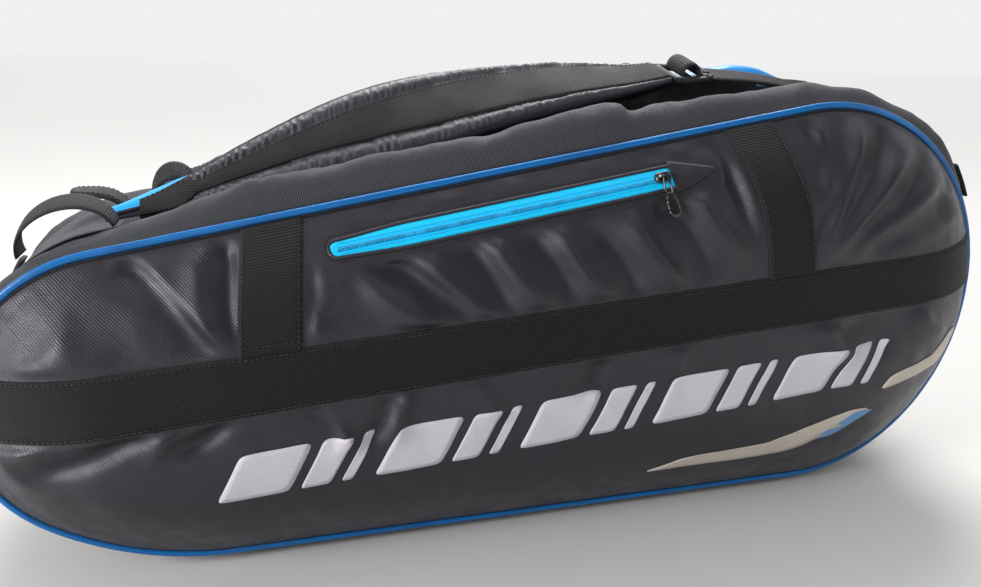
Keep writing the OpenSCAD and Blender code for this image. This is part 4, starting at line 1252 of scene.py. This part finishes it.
# Share of the width left where a strap meets its ladder lock
STRAP_END = 0.54
WIDTH_SHARE = soft_table([(0, 0.13), (0.1, 0.4), (0.2, 0.61), (0.35, 0.84), (0.53, 1), (0.76, 0.89),
                          (0.93, 0.7), (1, STRAP_END)])
CREST_Z = soft_table([(0, 240), (0.1, 261), (0.2, 281.5), (0.28, 296), (0.35, 308), (0.42, 317),
                      (0.53, 326), (0.64, 331), (0.76, 334), (1, 335)])
LYING_H = soft_table([(0, 9), (0.1, 13), (0.25, 20), (0.5, 24), (1, 26)])
THICK_SHARE = table([(0, 0.4), (0.15, 0.8), (0.3, 1), (0.8, 1), (1, 0.45)])


def strap_edges(u, lying):
    """Lower and upper edge of a strap, in the front half."""
    x = mix(STRAP_X0, STRAP_X1, u)
    w = STRAP_W * WIDTH_SHARE(u)
    a = np.radians(81 + 0 * u if lying else 42 + 33 * np.maximum(0, (u - 0.4) / 0.6))
    z = top_z(x) + LYING_H(u) if lying else CREST_Z(u) - w * np.cos(a)
    low = xyz(x, -SEAM_Y, z)
    return low, low + xyz(0, w * np.sin(a) * (-1 if lying else 1), w * np.cos(a))


def strap_frame(u, lying):
    low, high = strap_edges(u, lying)
    v = high - low
    return low, high, unit(xyz(0, -v[:, 2], v[:, 1]) * (-1 if lying else 1))


def band_half(u):
    """Half the centre band's share of a strap's width."""
    tail = 0.47 * smoothstep((0.12 - u) / 0.06)
    return np.maximum(mix(0.16, 0.40, u ** 1.3), tail)


def pad_height(v, u, s, seed):
    """Height of a strap's face: quilted between the bindings and the centre band, and gathered."""
    half = band_half(u)
    off = np.abs(v - 0.5)
    strip = np.clip((off - half) / np.maximum(0.46 - half, 0.02), 0, 1)
    bulge = np.where(off < half, 0.9, 0.72 + 0.42 * np.sin(np.pi * strip))
    bulge = bulge * np.clip((0.5 - off) / 0.05, 0.35, 1) ** 0.5
    jitter = noise_at(s / 14.0, np.sign(v - 0.5) * 1.3 + seed, 80 + seed)
    gather = np.sin(2 * np.pi * (s / 5.2 + 1.3 * jitter)) * (0.55 + 0.45 * np.sin(s / 17.0 + 9 * jitter))
    fine = noise_at(s / 2.4, v * 9, 90 + seed)
    room = np.clip((0.46 - half) / 0.2, 0, 1)
    gather = (0.75 * gather + 0.9 * jitter + 0.3 * fine) * room
    return bulge, gather * np.sin(np.pi * strip) ** 0.7 * (off > half)


def flipped(lying):
    """The back strap is the front one's mirror image."""
    return np.array([1, -1 if lying else 1, 1])


def strap(side_name, lying):
    """A shoulder strap: padded body, centre band, bound edges, stitching."""
    body = side_name + "_strap"
    u = np.linspace(0, 1, 330)
    low, high, n = strap_frame(u, lying)
    t = STRAP_T * THICK_SHARE(u)
    s = run_length((low + high) / 2)
    v = np.linspace(0.03, 0.97, 29)
    bulge, gather = pad_height(v, u[:, None], s[:, None], int(lying))
    p = low[:, None] + (high - low)[:, None] * v[:, None]
    face = p + n[:, None] * (t[:, None] / 2 * bulge + gather)[..., None]
    back = p - n[:, None] * (t[:, None] / 2 * (0.75 + 0.25 * np.sin(np.pi * v)) - 0.2)[..., None]
    rings = np.concatenate([face, back[:, ::-1]], 1) * flipped(lying)
    grain = strip_grain(s, v, np.linalg.norm(high - low, axis=1))
    pad = loft(side_name + "_strap_padding", rings, M["strap"], grain=grain)
    off = np.abs(np.concatenate([v, v[::-1]]) - 0.5)
    strip = (off > band_half(u)[:, None] + 0.02) & (off < 0.44) & (np.arange(2 * len(v)) < len(v))
    settle(pad, ~strip.ravel(), 1.5)
    place(pad, body, "panel_nylon", side_name + "_strap_pad")
    strap_trim(side_name, body, u, low, high, n, t, flipped(lying))


def strap_trim(side_name, body, u, low, high, n, t, flip):
    """The centre band, the bound edges, and the stitches in both."""
    half = band_half(u)[:, None]
    lift = n * (t / 2 * 0.9 - 0.35)[:, None]
    a, b = mix(low, high, 0.5 - half) + lift, mix(low, high, 0.5 + half) + lift
    strip = ribbon(side_name + "_strap_centre_band", a * flip, b * flip, n * flip, 1.3,
                   M["strap_twill"], 12, 0.4, 0.7)
    place(strip, body, "gusset_twill", side_name + "_strap_band")
    lines = [thread("seam", (mix(a, b, share) + n * 1.42) * flip, n * flip, M["thread"], 3.6, 2.6, 0.34)
             for share in (0.05, 0.95)]
    place(merged(side_name + "_strap_band_stitching", lines), body, "webbing")
    lines = []
    for share, seam_share in ((0.045, 0.085), (0.955, 0.915)):
        lines.append(tube("bind", mix(low, high, share) * flip, np.maximum(1.7, t * 0.31), M["binding"], 12,
                          up=n * flip, flat=0.9, wobble=0.12))
        seam = mix(low, high, seam_share) + n * (t / 2 * 0.86)[:, None]
        lines.append(thread("bind_thread", (seam * flip)[6:-4], (n * flip)[6:-4], M["thread"], 3.6, 2.6, 0.3))
    place(merged(side_name + "_strap_bindings", lines), body, "webbing")


LOCK_L, ADJUSTER_W = 34, 28
LOCK_W = ADJUSTER_W + 12
LIP_Y = (-11, -10, 0, 10, 11)


def lock_frame(lying):
    low, high = strap_edges(np.array([1.0]), lying)
    mid = (low[0] + high[0]) / 2 + [3, 0, 0]
    tilt = math.radians(-9 if lying else 15)
    return mid, np.array(Matrix.Rotation(tilt, 3, "X"))


def ladder_lock(side_name, lying):
    """A moulded ladder lock: two side rails, three bars and a ridged lifting lip."""
    origin, turn = lock_frame(lying)
    flip = flipped(lying)

    def at(x, y, z):
        return in_frame([x, y, z], origin, turn) * flip

    ex, ey, ez = turn.T * flip
    rail = [(0.6, 1.6, 0.0), (2, 2.6, 0.0), (8, 3.1, -0.2), (17, 3.3, -0.5), (26, 3.1, 0.2), (31, 2.6, 1.4),
            (33.4, 1.6, 2.2)]
    parts = [[(at(x, side * (LOCK_W / 2 - 3.0), z), w * 0.92, 2.3, ey, ez) for x, w, z in rail]
             for side in (-1, 1)]
    cells = np.linspace(-LOCK_W / 2 + 2.4, LOCK_W / 2 - 2.4, 9)
    for x, z, w, h, ys in (
            (2.6, 0.0, 2.3, 2.1, cells), (17, -0.3, 2.4, 1.9, cells), (30.6, 2.0, 3.0, 1.7, cells),
            (29.0, 3.5, 0.7, 0.6, LIP_Y), (31.0, 3.9, 0.7, 0.6, LIP_Y), (33.0, 3.9, 0.7, 0.6, LIP_Y)):
        parts.append([(at(x, y, z), w, h, ex, ez) for y in ys])
    obj = bars(side_name + "_ladder_lock_frame", parts, M["buckle"])
    place(obj, side_name + "_strap", "buckle_black", side_name + "_ladder_lock")


def seam_height(x):
    return top_z(x) + 3.4


ANCHOR_X = 265


def adjuster(side_name, lying):
    """The webbing: anchored in the seam, up to the lock, and over its middle bar."""
    origin, turn = lock_frame(lying)
    flip = flipped(lying)
    low, high = strap_edges(np.array([1.0]), lying)
    share = ADJUSTER_W / 2 / (STRAP_W * STRAP_END)
    a, b = (mix(low[0], high[0], 0.5 + k) + [LOCK_L + 1.0, 0, 0] for k in (-share, share))
    c = np.array([ANCHOR_X, -SEAM_Y, float(seam_height(ANCHOR_X)) + 1.6])
    d = c + [0, -3 if lying else 3, 6]
    v = np.linspace(0, 1, 60)
    left, right = mix(a, c, v[:, None]), mix(b, d, v[:, None])
    clear = seam_height(left[:, 0]) + 4.5 * np.minimum(1, 5 * (1 - v)) + 1.6 - left[:, 2]
    for edge in (left, right):
        edge[:, 2] += np.maximum(4.5 * np.sin(np.pi * v), clear)
    n = unit(np.cross(np.gradient((left + right) / 2, axis=0), right - left))
    n *= np.sign(n[:, 2:])
    run = ribbon("run", left * flip, right * flip, n * flip, 1.0, M["webbing"], 8, 1.0)
    r = np.radians(np.linspace(-20, 200, 26))
    hump = np.stack([LOCK_L / 2 - 7.6 * np.cos(r), 2.4 + 7.0 * np.maximum(0, np.sin(r)) + 1.6 * np.sin(r)], 1)
    edges = [in_frame(stood(hump, y), origin, turn) * flip for y in (-ADJUSTER_W / 2, ADJUSTER_W / 2)]
    grad = np.gradient(hump, axis=0)
    out = unit(xyz(-grad[:, 1], 0, grad[:, 0]))
    over = ribbon("over", *edges, (out @ turn.T) * flip, 0.9, M["webbing"], 8, 0.9)
    obj = merged(side_name + "_adjuster_webbing", [run, over])
    place(obj, side_name + "_strap", "webbing", side_name + "_adjuster")


def anchor_patches(side_name, side):
    """Webbing squares sewn over the seams where a strap is anchored, with a crossed box of stitches."""
    pieces = []
    size = 28
    y0, y1 = side * (SEAM_Y - 1), side * (SEAM_Y - 23)
    for x0 in (STRAP_X0 - 12, ANCHOR_X - 40):
        x = np.linspace(x0, x0 + size, 12)
        low, high = (xyz(x, y, seam_height(x) + 0.2) for y in (y0, y1))
        up = np.tile([0, 0, 1.0], (len(x), 1))
        pieces.append(ribbon("patch", low, high, up, 0.9, M["webbing"], 8, 0.2))
        corners = [(0.12, 0.1), (0.88, 0.1), (0.88, 0.9), (0.12, 0.9), (0.12, 0.1), (0.88, 0.9)]
        box = np.array([[mix(x0, x0 + size, a), mix(y0, y1, b)] for a, b in corners])
        s = run_length(box)
        x, y = at_points(np.linspace(0, s[-1], 50), s, box).T
        path = xyz(x, y, seam_height(x) + 1.2)
        pieces.append(thread("patch_thread", path, (0, 0, 1), M["thread"], 3.0, 2.2, 0.3))
    obj = merged(side_name + "_anchor_webbing", pieces)
    place(obj, "root", "webbing", side_name + "_anchor_patches")


# ---- loops and tabs at the ends ----

def loop_path(centre, radius, a0, a1, out, steps=40):
    """The CAD's loop: a half ellipse standing on two feet."""
    feet = centre + radius * outward(np.radians([a0, a1]))
    span = np.hypot(*(feet[1] - feet[0])) / 2
    base = feet.mean(0)
    away = outward(math.radians((a0 + a1) / 2))
    t = np.linspace(0, np.pi, steps)
    path = base + np.outer(out * np.sin(t), away) + np.outer(span * np.cos(t), [away[1], -away[0]])
    grad = np.gradient(path, axis=0)
    normal = unit(np.stack([grad[:, 1], -grad[:, 0]], 1))
    return path, normal * np.sign(((path - base) * normal).sum(1))[:, None], t


def webbing_loop(name, centre, radius, a0, a1, out, y0, width, twist):
    """A loop of webbing, its two edges leaning in at the top by the two numbers in twist."""
    path, normal, t = loop_path(centre, radius, a0, a1, out - 1.4)
    lean = np.outer(np.sin(t), twist)
    n = stood(normal, 0)
    left, right = stood(path, y0) - n * lean[:, :1], stood(path, y0 + width) + n * lean[:, 1:]
    place(ribbon(name + "_webbing", left, right, n, 0.8, M["webbing"], 8, 0.8, 0.5), "root", "webbing", name)


def end_loops():
    """The grab loop, the hang loop, the flap, and the tabs that close the main zips' ends."""
    webbing_loop("grab_loop", HANDLE_C, HANDLE_R + 10.2, 92, 124, 24, -74, 26, (2, 3))
    webbing_loop("hang_loop", HANDLE_C + [27, 8], HANDLE_R + 6, 81, 99, 23, 22, 16, (9, 2))
    end_flap()
    for end, c, r, mid, share in (("head", HEAD_C, HEAD_R, ZIP_HEAD_A + 7, 0.8),
                                  ("handle", HANDLE_C, HANDLE_R, ZIP_HANDLE_A - 7, 0.29)):
        tabs = []
        n = stood(outward(np.radians(np.linspace(mid - 5, mid + 5, 12))), 0)
        for side in (-1, 1):
            left = [c[0], side * 84, c[1]] + (r + ROLL_H * share + 0.9) * n
            right = left - [0, side * 22, 0]
            tabs.append(ribbon("tab", left, right, n, 2.9, M["webbing"], 8, 0.1, 0.3))
            tabs.append(thread("tab_sewn", mix(left, right, 0.5)[:4] + n[:4] * 3.3, n[:4], M["thread"]))
        place(merged(end + "_zip_tab_webbing", tabs), "root", "webbing", end + "_zip_tabs")


def end_flap():
    """The sewn flap that stands out over the handle end, with a row of stitches along each side."""
    knots = np.array([(-282, 228.4), (-286, 234), (-292, 238), (-301, 240), (-318, 240)])
    at = np.linspace(0, 1, 40)
    s = run_length(knots)
    line = blur(at_points(at * s[-1], s, knots), 6)
    turn = np.gradient(line, axis=0)
    n = unit(xyz(turn[:, 1], 0, -turn[:, 0]))
    narrow = 5.0 * smoothstep((at - 0.86) / 0.14) ** 2
    left = xyz(line[:, 0], 14 + narrow, line[:, 1] - 1.2 * np.sin(np.pi * at))
    right = stood(line, 44 - narrow)
    tab = ribbon("flap", left - n * 1.3, right - n * 1.3, n, 2.6, M["strap_twill"], 10, 0.2, 0.6)
    seams = [thread("flap_thread", mix(left, right, v) + n * 1.5, n, M["thread"]) for v in (0.1, 0.9)]
    place(merged("handle_end_tab_sewn", [tab] + seams), "root", "gusset_twill", "handle_end_tab")


def divider():
    """The foam wall between the two compartments, in lining cloth."""
    x, top, bottom = panel_columns(9.0)
    rows = np.linspace(0, 1, 30)
    gx = np.repeat(x[:, None], len(rows), 1)
    gz = (bottom - 9)[:, None] + (top - bottom + 12)[:, None] * rows
    faces = []
    for side in (-1, 1):
        grid = xyz(gx, side * (1.6 + 0.35 * cloth_noise(gx, gz, 40, 1.5, 30, 55 + side)), gz)
        faces.append(sheet_grid("face", grid, M["lining"], xyz(gx, gz, 0), 1.4, (0, side, 0)))
    obj = merged("divider_wall", faces)
    thicken(obj, 1.2)
    place(obj, "root", "lining", "divider")


def hard_nodes():
    """The main zips' sliders and pullers keep their CAD shape and get the enamel finish."""
    for name in [f"{side}_zip_{part}" for side in SIDES for part in ("slider", "puller")]:
        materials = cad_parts[name].data.materials
        materials.clear()
        materials.append(M["slider"])


# ---- the studio ----

PHOTO_PX, FOCAL_PX = 981, 830


def camera():
    """The lens stands at the handle end's side of the bag and looks down a little."""
    yaw, pitch, roll = (math.radians(v) for v in (17, 16, 1.4))
    forward = Vector((math.sin(yaw) * math.cos(pitch), math.cos(yaw) * math.cos(pitch), -math.sin(pitch)))
    right = Vector((math.cos(yaw), -math.sin(yaw), 0))
    up = right.cross(forward)
    right, up = right * math.cos(roll) + up * math.sin(roll), up * math.cos(roll) - right * math.sin(roll)
    data = bpy.data.cameras.new("camera")
    data.sensor_width = 36
    data.lens = data.sensor_width * FOCAL_PX / PHOTO_PX
    data.clip_start = 0.01
    cam = linked(bpy.data.objects.new("camera", data))
    turn = Matrix((right, up, -forward)).transposed().to_4x4()
    cam.matrix_world = Matrix.Translation((-0.2013, -0.6288, 0.3414)) @ turn
    bpy.context.scene.camera = cam


def area_light(name, place_at, target, size, power, color=(1, 1, 1)):
    data = bpy.data.lights.new(name, "AREA")
    data.shape = "RECTANGLE"
    data.size, data.size_y = size
    data.energy = power
    data.color = color
    lamp = linked(bpy.data.objects.new(name, data))
    lamp.location = place_at
    lamp.rotation_euler = (Vector(target) - Vector(place_at)).to_track_quat("-Z", "Y").to_euler()


def studio():
    """Pale surroundings, darker behind the camera, the floor, and the lamps."""
    world = bpy.data.worlds.new("studio")
    world.use_nodes = True
    tree = world.node_tree
    back = tree.nodes["Background"]
    back.inputs["Color"].default_value = (0.93, 0.94, 0.96, 1)
    direction = tree.nodes.new("ShaderNodeTexCoord").outputs["Generated"]
    split = tree.nodes.new("ShaderNodeSeparateXYZ")
    fade = tree.nodes.new("ShaderNodeMapRange")
    for key, value in (("From Min", -0.5), ("From Max", 0.4), ("To Min", 0.18), ("To Max", 0.93)):
        fade.inputs[key].default_value = value
    tree.links.new(direction, split.inputs[0])
    tree.links.new(split.outputs["Y"], fade.inputs["Value"])
    tree.links.new(fade.outputs["Result"], back.inputs["Strength"])
    bpy.context.scene.world = world
    bpy.context.scene.view_settings.view_transform = "Standard"
    g = Graph("floor_paper", (0.64, 0.63, 0.61), 0.8, Specular_IOR_Level=0.2)
    g.finish(g.tint(g.cloud(60, 4), (0.63, 0.62, 0.60), (0.67, 0.66, 0.64)))
    size = 30000
    floor = make("floor", [(x * size, z * size, 0) for x, z in ((-1, -1), (1, -1), (1, 1), (-1, 1))],
                 [(0, 1, 2, 3)], g.material)
    floor.location.z = CAD_BOX[0][2] - 0.0004
    area_light("key", (-2.0, -0.85, 0.85), (0, -0.1, 0.18), (0.8, 0.8), 50, (1, 0.98, 0.98))
    area_light("sky", (0.3, 1.0, 2.0), (0, 0, 0.2), (1.8, 1.0), 12, (0.96, 0.98, 1))
    window = bpy.data.lights.new("window", "SUN")
    window.energy = 2.8
    window.angle = math.radians(40)
    lamp = linked(bpy.data.objects.new("window", window))
    lamp.rotation_euler = Vector((0.25, 1, 1.2)).to_track_quat("Z", "Y").to_euler()
    area_light("front", (-0.7, -1.7, 1.4), (0, 0, 0.15), (0.6, 0.6), 5)
    area_light("fill", (1.8, -1.2, 0.9), (0.1, 0, 0.15), (0.4, 1.0), 4)


camera()
studio()
front = build_cover("front", FRONT_FOLDS)
build_cover("back", BACK_FOLDS)
generic_print(front)
pocket(front)
main_zips()
lower_gussets()
for side_name, side in SIDES.items():
    top_roll(side_name, side)
    strap(side_name, side > 0)
    ladder_lock(side_name, side > 0)
    adjuster(side_name, side > 0)
    anchor_patches(side_name, side)
spine()
end_loops()
divider()
hard_nodes()
